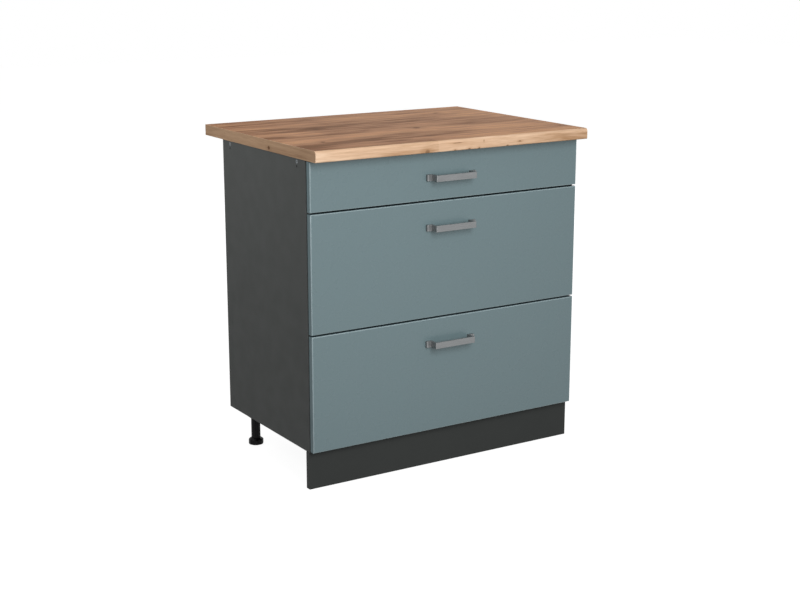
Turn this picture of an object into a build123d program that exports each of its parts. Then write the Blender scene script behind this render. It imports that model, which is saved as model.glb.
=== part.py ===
"""Base cabinet with three drawers, a worktop, a plinth and four levelling legs.

Millimetres. +X is to the right, +Y to the back, +Z up. The origin is on the floor, in the middle of the
worktop's footprint, and the drawers open towards -Y. Every piece of the cabinet is a node of its own.
"""

from build123d import *
from math import cos, radians, sin
import os

# ---------------------------------------------------------------- driving dimensions
# Worktop
worktop_side_overhang = 2.5  # carcass side to the worktop's end
worktop_depth = 600.0
worktop_thickness = 28.0
worktop_nose_radius = 8.0  # rounding of the top front edge
worktop_nose_under_radius = 3.0  # rounding of the lower front edge
worktop_front_overhang = 55.0  # worktop edge to carcass front edge

# Carcass
carcass_width = 800.0
carcass_depth = 445.0
carcass_height = 725.0
board = 16.0  # thickness of every coated board
edge_rounding = 0.8  # softened edges of the coated boards
top_rail_depth = 100.0
back_board = 3.0  # hardboard back
back_inset = 10.0  # carcass back edge to the hardboard
back_groove_depth = 8.0
back_play = 0.5  # hardboard edge to the end of its groove

# Fronts
front_thickness = 16.0
front_rounding = 3.0
front_setback = 2.0  # play between a closed front and the carcass
front_side_reveal = 1.5
front_gap = 4.0
front_edge_reveal = 2.5  # carcass edge to the nearest front, top and bottom
top_front_height = 121.5

# Handles
handle_spacing = 128.0  # screw to screw
handle_drop = 64.0  # top of a front to the handle's middle
handle_projection = 30.0
handle_height = 16.0
handle_strip = 5.0  # thickness of the bar and of its two legs
handle_tab = 9.0  # foot beyond the screw, on each side
handle_foot_depth = 8.0
handle_leg_offset = 4.0  # screw to the outside of the leg, towards the middle
handle_rounding = 2.0

# Legs, feet and plinth
leg_height = 97.0
leg_side_inset = 45.0
leg_front_inset = 55.0
leg_back_inset = 60.0
leg_tube_radius = 12.25
leg_bore_radius = 8.5
leg_bore_depth = 64.0
leg_flutes = 12
leg_flute_depth = 0.8
leg_flute_width = 2.2
socket_plate_radius = 30.0
socket_plate = 4.0
socket_collar = 22.0  # collar length, plate included
socket_wall = 4.0
tube_seat = 1.0  # how far the tube enters the socket's plate
socket_screw_circle_radius = 24.0
foot_radius = 20.0
foot_height = 13.0
foot_cone = 5.0
foot_cone_rim = 1.5  # cone's upper end beyond the tube
foot_chamfer = 1.5
foot_stem = 36.0
foot_stem_chamfer = 2.0
foot_lobes = 6
foot_notch_radius = 3.2
foot_notch_offset = 1.0  # foot's rim to the middle of a notch
plinth_setback = 2.0  # carcass front edge to the plinth's face
plinth_top_gap = 1.0
clip_plate = 3.0
clip_plate_width = 46.0
clip_plate_height = 26.0
clip_height = 22.0
clip_arm = 9.0  # width of the neck
clip_wall = 3.0
clip_mouth = 100.0  # degrees left open at the back of the ring
clip_middle_height = 52.0  # above the floor

# Fasteners
confirmat_radius = 3.5
confirmat_length = 50.0
confirmat_head_radius = 4.5
confirmat_head = 3.0
confirmat_socket_radius = 2.3
dowel_radius = 4.0
dowel_length = 30.0
dowel_in_side = 10.0
cam_radius = 7.5
cam_depth = 12.0
cam_edge_distance = 24.0
cam_cross_length = 8.0
cam_cross_width = 1.6
cam_cross_depth = 1.5
cam_bolt_radius = 3.0
cam_bolt_head_radius = 4.0
cam_bolt_head = 5.0
cam_bolt_in_side = 11.0
rail_fixing_inset = 42.0  # carcass edge to the nearest screw of the top rails
cam_inset = 110.0  # carcass edge to the nearest cam of the bottom panel
dowel_pitch = 32.0  # screw or cam to its dowel
screw_radius = 1.75  # small pan-head screw
screw_length = 13.0
screw_head_radius = 3.5
screw_head = 2.0
worktop_screw_radius = 2.0
worktop_screw_length = 34.0
worktop_screw_inset = 120.0  # inside face of a side to the screw
handle_screw_radius = 2.0
handle_screw_head_radius = 4.0
handle_screw_head = 2.4
handle_screw_grip = 6.0  # length inside the handle
hole_play = 0.05  # radial play of a screw or dowel in its hole
linking_hole_radius = 2.5
linking_hole_drop = 3.0  # underside of a top rail to the middle of the hole

# Runners and steel drawer sides
runner_back_clearance = 30.0  # back end of a runner to the hardboard
sheet = 1.25
runner_width = 11.0  # runner flange, from the cabinet side inwards
runner_height = 27.0
runner_lip = 3.0
runner_wall_gap = 2.25  # runner flange to the drawer's wall
runner_screw_end = 60.0  # first runner screw, from either end of the runner
roller_radius = 11.0
roller_width = 6.4
roller_play = 0.05  # radial play on the axle
roller_lift = 0.3  # play between a roller and its track
roller_side_play = 0.6
roller_rounding = 0.6
roller_rim = 2.0  # width of the raised rim on each face
roller_hub = 1.0  # raised hub beyond the axle's head
roller_dish = 0.8  # depth of the face between hub and rim
axle_radius = 3.0
axle_head_radius = 4.6
axle_head = 0.8
front_roller_setback = 14.0  # front end of the runner to the roller's axle
rear_roller_setback = 14.0  # back end of the drawer side to the roller's axle
front_roller_rise = 0.8  # top of the front roller above the runner
runner_cut = 28.0  # length of the runner's top flange cut away for the front roller
drawer_rise = 18.0  # lower edge of a front to the bottom of its drawer
runner_rise = 1.0  # bottom of the drawer to the bottom of the runner
drawer_side_height = 86.0
drawer_hem_width = 6.0
drawer_hem_drop = 5.0
drawer_ledge = 12.0  # ledge under the base
base_screw_end = 60.0  # end of the steel side to the nearest screw of the base
front_tab_width = 30.0
front_tab_play = 2.0  # drawer base to the tab above it
front_tab_hem_gap = 4.0
tall_board_rise = 150.0  # height of a tall drawer's back, above the base
gallery_radius = 5.0
gallery_rise = 118.0  # drawer base's top to the middle of the gallery rail
gallery_inset = 7.0  # steel wall to the middle of the gallery rail
gallery_socket = 8.0  # depth of the rail's seat in the front and in the back

# ---------------------------------------------------------------- places worked out from them
carcass_bottom = leg_height
carcass_top = carcass_bottom + carcass_height
worktop_top = carcass_top + worktop_thickness
worktop_width = carcass_width + 2 * worktop_side_overhang
carcass_front = -worktop_depth / 2 + worktop_front_overhang
carcass_back = carcass_front + carcass_depth
side_outer = carcass_width / 2
side_inner = side_outer - board
floor_top = carcass_bottom + board  # upper face of the bottom panel
rail_under = carcass_top - board
back_panel_back = carcass_back - back_inset
back_panel_front = back_panel_back - back_board
front_back = carcass_front - front_setback
front_face = front_back - front_thickness
front_half_width = side_outer - front_side_reveal
tall_front_height = (carcass_height - 2 * front_edge_reveal - 2 * front_gap - top_front_height) / 2

front_rail_middle = carcass_front + top_rail_depth / 2
back_rail_middle = back_panel_front - top_rail_depth / 2
rail_fixing_height = carcass_top - board / 2
bottom_fixing_height = carcass_bottom + board / 2
rail_fixing_rows = (carcass_front + rail_fixing_inset, carcass_back - rail_fixing_inset)
cam_rows = (carcass_front + cam_inset, carcass_back - cam_inset)
dowel_places = [
    (row + inwards * dowel_pitch, height)
    for rows, height in ((rail_fixing_rows, rail_fixing_height), (cam_rows, bottom_fixing_height))
    for row, inwards in zip(rows, (1, -1))
]

wall_outer = runner_width + runner_wall_gap  # outer face of a drawer's wall, from the cabinet side
wall_inner = wall_outer + sheet
box_half_width = side_inner - wall_inner
runner_front = carcass_front + front_setback
runner_back = back_panel_front - runner_back_clearance
runner_length = runner_back - runner_front
drawer_back_end = front_back + runner_length
rear_axle_y = drawer_back_end - rear_roller_setback
front_axle_y = runner_front + front_roller_setback
roller_start = sheet + roller_side_play
rear_axle_rise = runner_rise + sheet + roller_lift + roller_radius
front_axle_rise = runner_rise + runner_height + front_roller_rise - roller_radius
track_rise = front_axle_rise + roller_radius + roller_lift
base_rise = sheet + board  # top of the drawer's base above its bottom
back_board_front = drawer_back_end - board
base_screw_rows = (
    front_back + base_screw_end,
    (front_back + drawer_back_end) / 2,
    drawer_back_end - base_screw_end,
)

leg_places = [
    (side * (side_outer - leg_side_inset), y)
    for y in (carcass_front + leg_front_inset, carcass_back - leg_back_inset)
    for side in (-1, 1)
]
leg_names = ["front_left", "front_right", "rear_left", "rear_right"]
foot_top = foot_height + foot_cone
socket_bottom = leg_height - socket_collar
leg_tube_top = leg_height - socket_plate + tube_seat
plinth_face = carcass_front + plinth_setback
plinth_back = plinth_face + board


class Drawer:
    """The sizes that differ from one drawer to the next.

    Args:
        name: the drawer's place in the cabinet, used in its nodes' names.
        front_bottom: height of the front's lower edge above the floor.
        front_height: height of the front.
        board_rise: height of the drawer's back above its base.
        has_gallery: whether rails run above the steel sides.
    """

    def __init__(self, name, front_bottom, front_height, board_rise, has_gallery):
        self.name = name
        self.front_bottom = front_bottom
        self.front_height = front_height
        self.board_rise = board_rise
        self.has_gallery = has_gallery
        self.bottom = front_bottom + drawer_rise
        self.base_top = self.bottom + base_rise
        self.handle_height = front_bottom + front_height - handle_drop


bottom_edge = carcass_bottom + front_edge_reveal
middle_edge = bottom_edge + tall_front_height + front_gap
top_edge = middle_edge + tall_front_height + front_gap
drawers = [
    Drawer("bottom", bottom_edge, tall_front_height, tall_board_rise, True),
    Drawer("middle", middle_edge, tall_front_height, tall_board_rise, True),
    Drawer("top", top_edge, top_front_height, drawer_side_height - base_rise, False),
]


# ---------------------------------------------------------------- helpers
def block(x0, x1, y0, y1, z0, z1):
    """A box between two corners."""
    return Pos((x0 + x1) / 2, (y0 + y1) / 2, (z0 + z1) / 2) * Box(abs(x1 - x0), abs(y1 - y0), abs(z1 - z0))


def rod(radius, start, direction, length):
    """A round bar from a point, along a direction."""
    plane = Plane(origin=start, z_dir=direction)
    return extrude(plane * Circle(radius), length)


def pan_screw(seat, direction, radius, length, head_radius, head):
    """A pan-head screw whose head lies on the seat, with its shank along the direction."""
    backwards = tuple(-v for v in direction)
    shank = rod(radius, seat, direction, length)
    shank = chamfer(shank.faces().sort_by(Axis(seat, direction))[-1].edges(), radius / 2)
    cap = rod(head_radius, seat, backwards, head)
    cap = fillet(cap.faces().sort_by(Axis(seat, direction))[0].edges(), head / 2)
    return shank + cap


def small_screw(seat, direction):
    """The small pan-head screw used all over the cabinet."""
    return pan_screw(seat, direction, screw_radius, screw_length, screw_head_radius, screw_head)


def small_screw_hole(seat, direction):
    """The hole that takes a small screw."""
    return rod(screw_radius + hole_play, seat, direction, screw_length)


def both_sides(shape):
    """A shape on the left and its mirror image on the right."""
    return [shape, mirror(shape, about=Plane.YZ)]


def softened(panel, axis, radius):
    """A board with the edges along one axis rounded."""
    return fillet(panel.edges().filter_by(axis), radius)


def group(shapes):
    """Separate solids that share one node."""
    return Compound(children=[solid for shape in shapes for solid in shape.solids()])


nodes = {}


def keep(name, shape):
    """Stores a finished node under its name."""
    nodes[name] = shape


# ---------------------------------------------------------------- worktop
def make_worktop():
    """The worktop, with its rounded front edge and the pilot holes of its screws."""
    half = worktop_width / 2
    top = block(-half, half, -worktop_depth / 2, worktop_depth / 2, carcass_top, worktop_top)
    front_edges = top.faces().sort_by(Axis.Y)[0].edges().filter_by(Axis.X)
    top = fillet(front_edges.sort_by(Axis.Z)[-1], worktop_nose_radius)
    lower = top.edges().filter_by(Axis.X).sort_by(Axis.Y)[:2].sort_by(Axis.Z)[0]
    top = fillet(lower, worktop_nose_under_radius)
    for seat in worktop_screw_seats():
        top -= rod(worktop_screw_radius + hole_play, seat, (0, 0, 1), worktop_screw_length)
    return top


def worktop_screw_seats():
    """Where the heads of the worktop's screws lie, under the top rails."""
    x = side_inner - worktop_screw_inset
    return [(side * x, y, rail_under) for y in (front_rail_middle, back_rail_middle) for side in (-1, 1)]


# ---------------------------------------------------------------- carcass
def make_dowels():
    """The dowels of the bottom panel and of the top rails, left and right."""
    shapes = []
    for y, z in dowel_places:
        dowel = rod(dowel_radius, (-side_inner - dowel_in_side, y, z), (1, 0, 0), dowel_length)
        shapes += both_sides(chamfer(dowel.edges().filter_by(GeomType.CIRCLE), dowel_radius / 5))
    return shapes


def dowel_bores():
    """The bores that take the left dowels."""
    radius = dowel_radius + hole_play
    return [rod(radius, (-side_inner - dowel_in_side, y, z), (1, 0, 0), dowel_length) for y, z in dowel_places]


def make_rail_screws():
    """The confirmat screws that go through the sides into the top rails, heads flush outside."""
    shapes = []
    for y in rail_fixing_rows:
        start = (-side_outer, y, rail_fixing_height)
        shank = rod(confirmat_radius, start, (1, 0, 0), confirmat_length)
        shank = chamfer(shank.faces().sort_by(Axis.X)[-1].edges(), confirmat_radius / 2)
        head = rod(confirmat_head_radius, start, (1, 0, 0), confirmat_head)
        socket = Plane(origin=start, z_dir=(1, 0, 0)) * RegularPolygon(confirmat_socket_radius, 6)
        recess = extrude(socket, confirmat_head)
        shapes += both_sides(shank + head - recess)
    return shapes


def rail_screw_bores():
    """The stepped bores that take the left confirmat screws."""
    bores = []
    for y in rail_fixing_rows:
        start = (-side_outer, y, rail_fixing_height)
        bores.append(rod(confirmat_radius + hole_play, start, (1, 0, 0), confirmat_length))
        bores.append(rod(confirmat_head_radius + hole_play, start, (1, 0, 0), confirmat_head))
    return bores


def make_cam_bolts():
    """The bolts from the sides into the cams of the bottom panel."""
    shapes = []
    for y in cam_rows:
        start = (-side_inner - cam_bolt_in_side, y, bottom_fixing_height)
        length = cam_bolt_in_side + cam_edge_distance
        bolt = rod(cam_bolt_radius, start, (1, 0, 0), length)
        head_start = (-side_inner + cam_edge_distance - cam_bolt_head, y, bottom_fixing_height)
        shapes += both_sides(bolt + rod(cam_bolt_head_radius, head_start, (1, 0, 0), cam_bolt_head))
    return shapes


def cam_bolt_bores():
    """The bores of the left cam bolts, in the side and in the bottom panel's end."""
    bores = []
    for y in cam_rows:
        start = (-side_inner - cam_bolt_in_side, y, bottom_fixing_height)
        bores.append(rod(cam_bolt_radius + hole_play, start, (1, 0, 0), cam_bolt_in_side))
        inside = (-side_inner, y, bottom_fixing_height)
        bores.append(rod(cam_bolt_head_radius + hole_play, inside, (1, 0, 0), cam_edge_distance))
    return bores


def cam_pockets(radius):
    """Upright round pockets or bodies of the left cams, open at the panel's underside."""
    x = -side_inner + cam_edge_distance
    return [rod(radius, (x, y, carcass_bottom), (0, 0, 1), cam_depth) for y in cam_rows]


def make_cam_locks():
    """The cams that draw the bolts in, each with a notch for the bolt and a screwdriver cross."""
    half_length, half_width = cam_cross_length / 2, cam_cross_width / 2
    slot = block(-half_length, half_length, -half_width, half_width, 0, cam_cross_depth)
    shapes = []
    for cam, bore in zip(cam_pockets(cam_radius), cam_bolt_bores()[1::2]):
        middle = cam.center()
        for quarter in (0, 90):
            cam -= Pos(middle.X, middle.Y, carcass_bottom) * Rot(0, 0, quarter) * slot
        shapes += both_sides(cam - bore)
    return shapes


def back_groove():
    """The space of the hardboard back's groove, in the sides and in the bottom panel."""
    reach = side_inner + back_groove_depth
    return block(-reach, reach, back_panel_front, back_panel_back, floor_top - back_groove_depth, carcass_top)


def runner_screw_seats(drawer):
    """Where the left runner's screw heads lie on its web."""
    x = -side_inner + sheet
    z = drawer.bottom + runner_rise + runner_height / 2
    return [(x, y, z) for y in (runner_front + runner_screw_end, runner_back - runner_screw_end)]


def make_side_panel():
    """The left side, with its groove, bores, linking holes and runner screw holes."""
    panel = block(-side_outer, -side_inner, carcass_front, carcass_back, carcass_bottom, carcass_top)
    panel = softened(panel, Axis.Z, edge_rounding)
    panel -= back_groove()
    for bore in dowel_bores() + rail_screw_bores() + cam_bolt_bores():
        panel -= bore
    for y in rail_fixing_rows:
        panel -= rod(linking_hole_radius, (-side_outer, y, rail_under - linking_hole_drop), (1, 0, 0), board)
    for drawer in drawers:
        for seat in runner_screw_seats(drawer):
            panel -= small_screw_hole(seat, (-1, 0, 0))
    return panel


def make_bottom_panel():
    """The bottom panel, with its groove, bores, cam pockets and the leg sockets' screw holes."""
    panel = block(-side_inner, side_inner, carcass_front, carcass_back, carcass_bottom, floor_top)
    panel -= back_groove()
    for bore in dowel_bores() + cam_bolt_bores() + cam_pockets(cam_radius + hole_play):
        for copy in both_sides(bore):
            panel -= copy
    for seat in socket_screw_seats():
        panel -= small_screw_hole(seat, (0, 0, 1))
    return panel


def make_back_panel():
    """The hardboard back, standing in its grooves."""
    reach = side_inner + back_groove_depth - back_play
    low = floor_top - back_groove_depth + back_play
    return block(-reach, reach, back_panel_front, back_panel_back, low, carcass_top)


def make_top_rail(middle):
    """One of the two rails that join the sides at the top."""
    half = top_rail_depth / 2
    rail = block(-side_inner, side_inner, middle - half, middle + half, rail_under, carcass_top)
    for bore in dowel_bores() + rail_screw_bores():
        for copy in both_sides(bore):
            rail -= copy
    for seat in worktop_screw_seats():
        rail -= rod(worktop_screw_radius + hole_play, seat, (0, 0, 1), board)
    return rail


def make_worktop_screws():
    """The screws from under the rails into the worktop."""
    return [
        pan_screw(seat, (0, 0, 1), worktop_screw_radius, worktop_screw_length, screw_head_radius, screw_head)
        for seat in worktop_screw_seats()
    ]


# ---------------------------------------------------------------- legs
def socket_screw_seats():
    """Where the screw heads lie under the plates of the four sockets."""
    seats = []
    for x, y in leg_places:
        for quarter in range(4):
            angle = radians(45 + 90 * quarter)
            dx = socket_screw_circle_radius * cos(angle)
            dy = socket_screw_circle_radius * sin(angle)
            seats.append((x + dx, y + dy, leg_height - socket_plate))
    return seats


def make_leg_socket():
    """A round plate with a collar that holds a leg's tube, at the origin's axis."""
    collar_radius = leg_tube_radius + hole_play + socket_wall
    plate = rod(socket_plate_radius, (0, 0, leg_height - socket_plate), (0, 0, 1), socket_plate)
    collar = rod(collar_radius, (0, 0, socket_bottom), (0, 0, 1), socket_collar)
    seat_depth = leg_tube_top - socket_bottom
    socket = plate + collar - rod(leg_tube_radius + hole_play, (0, 0, socket_bottom), (0, 0, 1), seat_depth)
    for quarter in range(4):
        hole = rod(screw_radius + hole_play, (socket_screw_circle_radius, 0, 0), (0, 0, 1), leg_height)
        socket -= Rot(0, 0, 45 + 90 * quarter) * hole
    return socket


def make_leg_tube():
    """A fluted tube from the foot's shoulder up into its socket, at the origin's axis."""
    tube = rod(leg_tube_radius, (0, 0, foot_top), (0, 0, 1), leg_tube_top - foot_top)
    tube -= rod(leg_bore_radius + hole_play, (0, 0, foot_top), (0, 0, 1), leg_bore_depth)
    groove = block(
        leg_tube_radius - leg_flute_depth,
        leg_tube_radius + leg_flute_depth,
        -leg_flute_width / 2,
        leg_flute_width / 2,
        foot_top,
        socket_bottom,
    )
    for step in range(leg_flutes):
        tube -= Rot(0, 0, 360 / leg_flutes * step) * groove
    return tube


def make_levelling_foot():
    """A lobed foot with a cone and the stem that winds into the tube, at the origin's axis."""
    profile = Polyline(
        (0, 0),
        (foot_radius - foot_chamfer, 0),
        (foot_radius, foot_chamfer),
        (foot_radius, foot_height),
        (leg_tube_radius + foot_cone_rim, foot_top),
        (leg_bore_radius, foot_top),
        (leg_bore_radius, foot_top + foot_stem - foot_stem_chamfer),
        (leg_bore_radius - foot_stem_chamfer, foot_top + foot_stem),
        (0, foot_top + foot_stem),
        close=True,
    )
    foot = revolve(Plane.XZ * make_face(profile), Axis.Z)
    for lobe in range(foot_lobes):
        notch = rod(foot_notch_radius, (foot_radius + foot_notch_offset, 0, 0), (0, 0, 1), foot_top)
        foot -= Rot(0, 0, 360 / foot_lobes * (lobe + 0.5)) * notch
    return foot


# ---------------------------------------------------------------- plinth
def clip_screw_seats():
    """Where the screw heads lie on the plates of the two plinth clips."""
    x, _ = leg_places[0]
    spread = (clip_plate_width - clip_arm) / 4 + clip_arm / 2
    y = plinth_back + clip_plate
    return [(side * x + step * spread, y, clip_middle_height) for side in (1, -1) for step in (-1, 1)]


def make_plinth_panel():
    """The plinth board on the floor, with the clips' screw holes."""
    top = carcass_bottom - plinth_top_gap
    panel = block(-side_outer, side_outer, plinth_face, plinth_back, 0, top)
    panel = softened(panel, Axis.Z, edge_rounding)
    for seat in clip_screw_seats():
        panel -= small_screw_hole(seat, (0, -1, 0))
    return panel


def make_plinth_clip():
    """The left clip: a plate on the plinth, a neck and an open ring round the leg's tube."""
    x, y = leg_places[0]
    low = clip_middle_height - clip_height / 2
    half = clip_plate_width / 2
    plate_low = clip_middle_height - clip_plate_height / 2
    plate = block(x - half, x + half, plinth_back, plinth_back + clip_plate, plate_low, plate_low + clip_plate_height)
    inner = leg_tube_radius + hole_play
    neck_back = y - inner - clip_wall / 2
    neck = block(x - clip_arm / 2, x + clip_arm / 2, plinth_back, neck_back, low, low + clip_height)
    ring = rod(inner + clip_wall, (x, y, low), (0, 0, 1), clip_height)
    reach = 3 * leg_tube_radius
    half_mouth = radians(clip_mouth / 2)
    corner = (reach * sin(half_mouth), reach * cos(half_mouth))
    mouth = make_face(Polyline((0, 0), corner, (-corner[0], corner[1]), close=True))
    clip = plate + neck + ring
    clip -= Pos(x, y, low) * extrude(mouth, clip_height)
    clip -= rod(inner, (x, y, low), (0, 0, 1), clip_height)
    for seat in clip_screw_seats():
        clip -= rod(screw_radius + hole_play, seat, (0, -1, 0), clip_plate)
    return clip


# ---------------------------------------------------------------- runners
def make_runner(drawer):
    """The left cabinet runner of a drawer: a C profile with a riveted axle for its front roller."""
    low = drawer.bottom + runner_rise
    high = low + runner_height
    outer = -side_inner
    inner = outer + runner_width
    profile = block(outer, outer + sheet, runner_front, runner_back, low, high)
    profile += block(outer, inner, runner_front, runner_back, low, low + sheet)
    profile += block(inner - sheet, inner, runner_front + runner_cut, runner_back, low, low + sheet + runner_lip)
    profile += block(outer, inner, runner_front + runner_cut, runner_back, high - sheet, high)
    profile += block(inner - sheet, inner, runner_front + runner_cut, runner_back, high - runner_lip, high)
    axle_z = drawer.bottom + front_axle_rise
    web = (outer + sheet / 2, front_axle_y, axle_z)
    axle_length = roller_start + roller_width + roller_side_play - sheet / 2
    profile += rod(axle_radius, web, (1, 0, 0), axle_length + axle_head)
    profile += rod(axle_head_radius, (web[0] + axle_length, front_axle_y, axle_z), (1, 0, 0), axle_head)
    profile += stop_tongue(outer, low)
    for seat in runner_screw_seats(drawer):
        profile -= rod(screw_radius + hole_play, seat, (-1, 0, 0), sheet)
    return profile


def stop_tongue(outer, low):
    """The end tongue at the back of a runner, which closes the channel behind the rear roller."""
    return block(outer, outer + runner_width, runner_back - sheet, runner_back, low, low + runner_height)


def make_roller(y, z):
    """The left roller on an axle at the given place, with a rim groove on each face."""
    x = -side_inner + roller_start
    roller = rod(roller_radius, (x, y, z), (1, 0, 0), roller_width)
    roller = fillet(roller.edges(), roller_rounding)
    for start, direction in ((x, (1, 0, 0)), (x + roller_width, (-1, 0, 0))):
        dish = rod(roller_radius - roller_rim, (start, y, z), direction, roller_dish)
        roller -= dish - rod(axle_head_radius + roller_hub, (start, y, z), direction, roller_dish)
    return roller - rod(axle_radius + roller_play, (x, y, z), (1, 0, 0), roller_width)


# ---------------------------------------------------------------- drawers
def front_tab_screw_seats(drawer):
    """Where the screw heads lie on the left steel side's tab, behind the front."""
    low, high = front_tab_span(drawer)
    x = -box_half_width + front_tab_width / 2
    quarter = (high - low) / 4
    return [(x, front_back + sheet, z) for z in (low + quarter, high - quarter)]


def front_tab_span(drawer):
    """Lower and upper end of the steel side's tab."""
    return drawer.base_top + front_tab_play, drawer.bottom + drawer_side_height - front_tab_hem_gap


def base_screw_seats(drawer):
    """Where the screw heads lie under the left steel side's ledge."""
    x = -box_half_width + drawer_ledge / 2
    return [(x, y, drawer.bottom) for y in base_screw_rows]


def back_screw_seats(drawer):
    """Where the screw heads lie outside the left steel side, at the drawer's back."""
    x = -side_inner + wall_outer
    y = drawer_back_end - board / 2
    low = drawer.bottom + track_rise
    high = drawer.bottom + drawer_side_height
    third = (high - low) / 3
    return [(x, y, low + third), (x, y, high - third)]


def make_drawer_side(drawer):
    """The left steel side: wall, hem, track, ledge, front tab and the axle of the rear roller."""
    low = drawer.bottom
    high = low + drawer_side_height
    outer = -side_inner + wall_outer
    inner = -side_inner + wall_inner
    start, end = front_back, drawer_back_end
    side = block(outer, inner, start, end, low, high)
    hem = outer - drawer_hem_width
    side += block(hem, inner, start, end, high - sheet, high)
    side += block(hem, hem + sheet, start, end, high - drawer_hem_drop, high)
    track = low + track_rise
    side += block(-side_inner + roller_start, inner, start, end, track, track + sheet)
    side += block(outer, inner + drawer_ledge, start, end, low, low + sheet)
    tab_low, tab_high = front_tab_span(drawer)
    side += block(outer, inner + front_tab_width, start, start + sheet, tab_low, tab_high)
    axle_z = low + rear_axle_rise
    roller_end = -side_inner + roller_start + roller_width
    root = (outer + sheet / 2, rear_axle_y, axle_z)
    axle_tip = -side_inner + roller_start - roller_side_play / 2
    side += rod(axle_radius, root, (-1, 0, 0), root[0] - axle_tip)
    shoulder = outer - roller_end - roller_side_play
    side += rod(axle_head_radius, (outer, rear_axle_y, axle_z), (-1, 0, 0), shoulder)
    for seat in front_tab_screw_seats(drawer):
        side -= rod(screw_radius + hole_play, seat, (0, -1, 0), sheet)
    for seat in base_screw_seats(drawer):
        side -= rod(screw_radius + hole_play, seat, (0, 0, 1), sheet)
    for seat in back_screw_seats(drawer):
        side -= rod(screw_radius + hole_play, seat, (1, 0, 0), sheet)
    return side


def make_drawer_base(drawer):
    """The base board, on the ledges of the two steel sides."""
    low = drawer.bottom + sheet
    base = block(-box_half_width, box_half_width, front_back, drawer_back_end, low, low + board)
    for seat in base_screw_seats(drawer):
        for hole in both_sides(small_screw_hole(seat, (0, 0, 1))):
            base -= hole
    return base


def make_drawer_back(drawer):
    """The back board, standing on the base between the steel sides."""
    low = drawer.base_top
    high = low + drawer.board_rise
    back = block(-box_half_width, box_half_width, back_board_front, drawer_back_end, low, high)
    for seat in back_screw_seats(drawer):
        for hole in both_sides(small_screw_hole(seat, (1, 0, 0))):
            back -= hole
    if drawer.has_gallery:
        for seat in both_sides(gallery_seat(drawer)):
            back -= seat
    return back


def gallery_place(drawer):
    """X and Z of the left gallery rail's middle."""
    return -box_half_width + gallery_inset, drawer.base_top + gallery_rise


def gallery_seat(drawer):
    """The space of the left gallery rail with its play, from seat to seat."""
    x, z = gallery_place(drawer)
    start = front_back - gallery_socket
    end = back_board_front + gallery_socket
    return rod(gallery_radius + hole_play, (x, start, z), (0, 1, 0), end - start)


def make_gallery_rail(drawer):
    """The left gallery rail, seated in the front and in the back board."""
    x, z = gallery_place(drawer)
    start = front_back - gallery_socket
    end = back_board_front + gallery_socket
    return rod(gallery_radius, (x, start, z), (0, 1, 0), end - start)


def handle_screw_seats(drawer):
    """Where the heads of the two handle screws lie, behind the front."""
    half = handle_spacing / 2
    return [(side * half, front_back, drawer.handle_height) for side in (-1, 1)]


def make_drawer_front(drawer):
    """The front panel, with its softened outer edges and the holes behind it."""
    low = drawer.front_bottom
    high = low + drawer.front_height
    panel = block(-front_half_width, front_half_width, front_face, front_back, low, high)
    panel = fillet(panel.faces().sort_by(Axis.Y)[0].edges(), front_rounding)
    for seat in handle_screw_seats(drawer):
        panel -= rod(handle_screw_radius + hole_play, seat, (0, -1, 0), front_thickness)
    for seat in front_tab_screw_seats(drawer):
        for hole in both_sides(small_screw_hole(seat, (0, -1, 0))):
            panel -= hole
    if drawer.has_gallery:
        for seat in both_sides(gallery_seat(drawer)):
            panel -= seat
    return panel


def make_handle(drawer):
    """The bow handle: a flat bar on two legs with feet that take the screws."""
    z = drawer.handle_height
    low, high = z - handle_height / 2, z + handle_height / 2
    leg_outer = handle_spacing / 2 - handle_leg_offset
    leg_inner = leg_outer - handle_strip
    bar_face = front_face - handle_projection
    bar = block(-leg_outer, leg_outer, bar_face, bar_face + handle_strip, low, high)
    handle = bar
    for side in (-1, 1):
        handle += block(side * leg_inner, side * leg_outer, bar_face, front_face, low, high)
        tab_end = handle_spacing / 2 + handle_tab
        handle += block(side * leg_inner, side * tab_end, front_face - handle_foot_depth, front_face, low, high)
    corners = handle.edges().filter_by(Axis.Z)
    outer_corners = [edge for edge in corners if is_outer_handle_corner(edge, bar_face)]
    handle = fillet(outer_corners, handle_rounding)
    for x, _, height in handle_screw_seats(drawer):
        seat = (x, front_face, height)
        handle -= rod(handle_screw_radius + hole_play, seat, (0, -1, 0), handle_screw_grip)
    return handle


def is_outer_handle_corner(edge, bar_face):
    """Whether an upright edge is an outer corner of the bar or of a foot."""
    middle = edge.center()
    on_bar = abs(middle.Y - bar_face) < 0.01
    foot_face = front_face - handle_foot_depth
    on_foot = abs(middle.Y - foot_face) < 0.01 and abs(middle.X) > handle_spacing / 2
    return on_bar or on_foot


def make_handle_screws(drawer):
    """The two machine screws that hold the handle from inside the drawer."""
    length = front_thickness + handle_screw_grip
    return [
        pan_screw(
            seat, (0, -1, 0), handle_screw_radius, length, handle_screw_head_radius, handle_screw_head
        )
        for seat in handle_screw_seats(drawer)
    ]


def make_drawer_screws(drawer):
    """The small screws that join the steel sides to the front, the base and the back."""
    shapes = []
    for seat in front_tab_screw_seats(drawer):
        shapes += both_sides(small_screw(seat, (0, -1, 0)))
    for seat in base_screw_seats(drawer):
        shapes += both_sides(small_screw(seat, (0, 0, 1)))
    for seat in back_screw_seats(drawer):
        shapes += both_sides(small_screw(seat, (1, 0, 0)))
    return shapes


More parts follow.
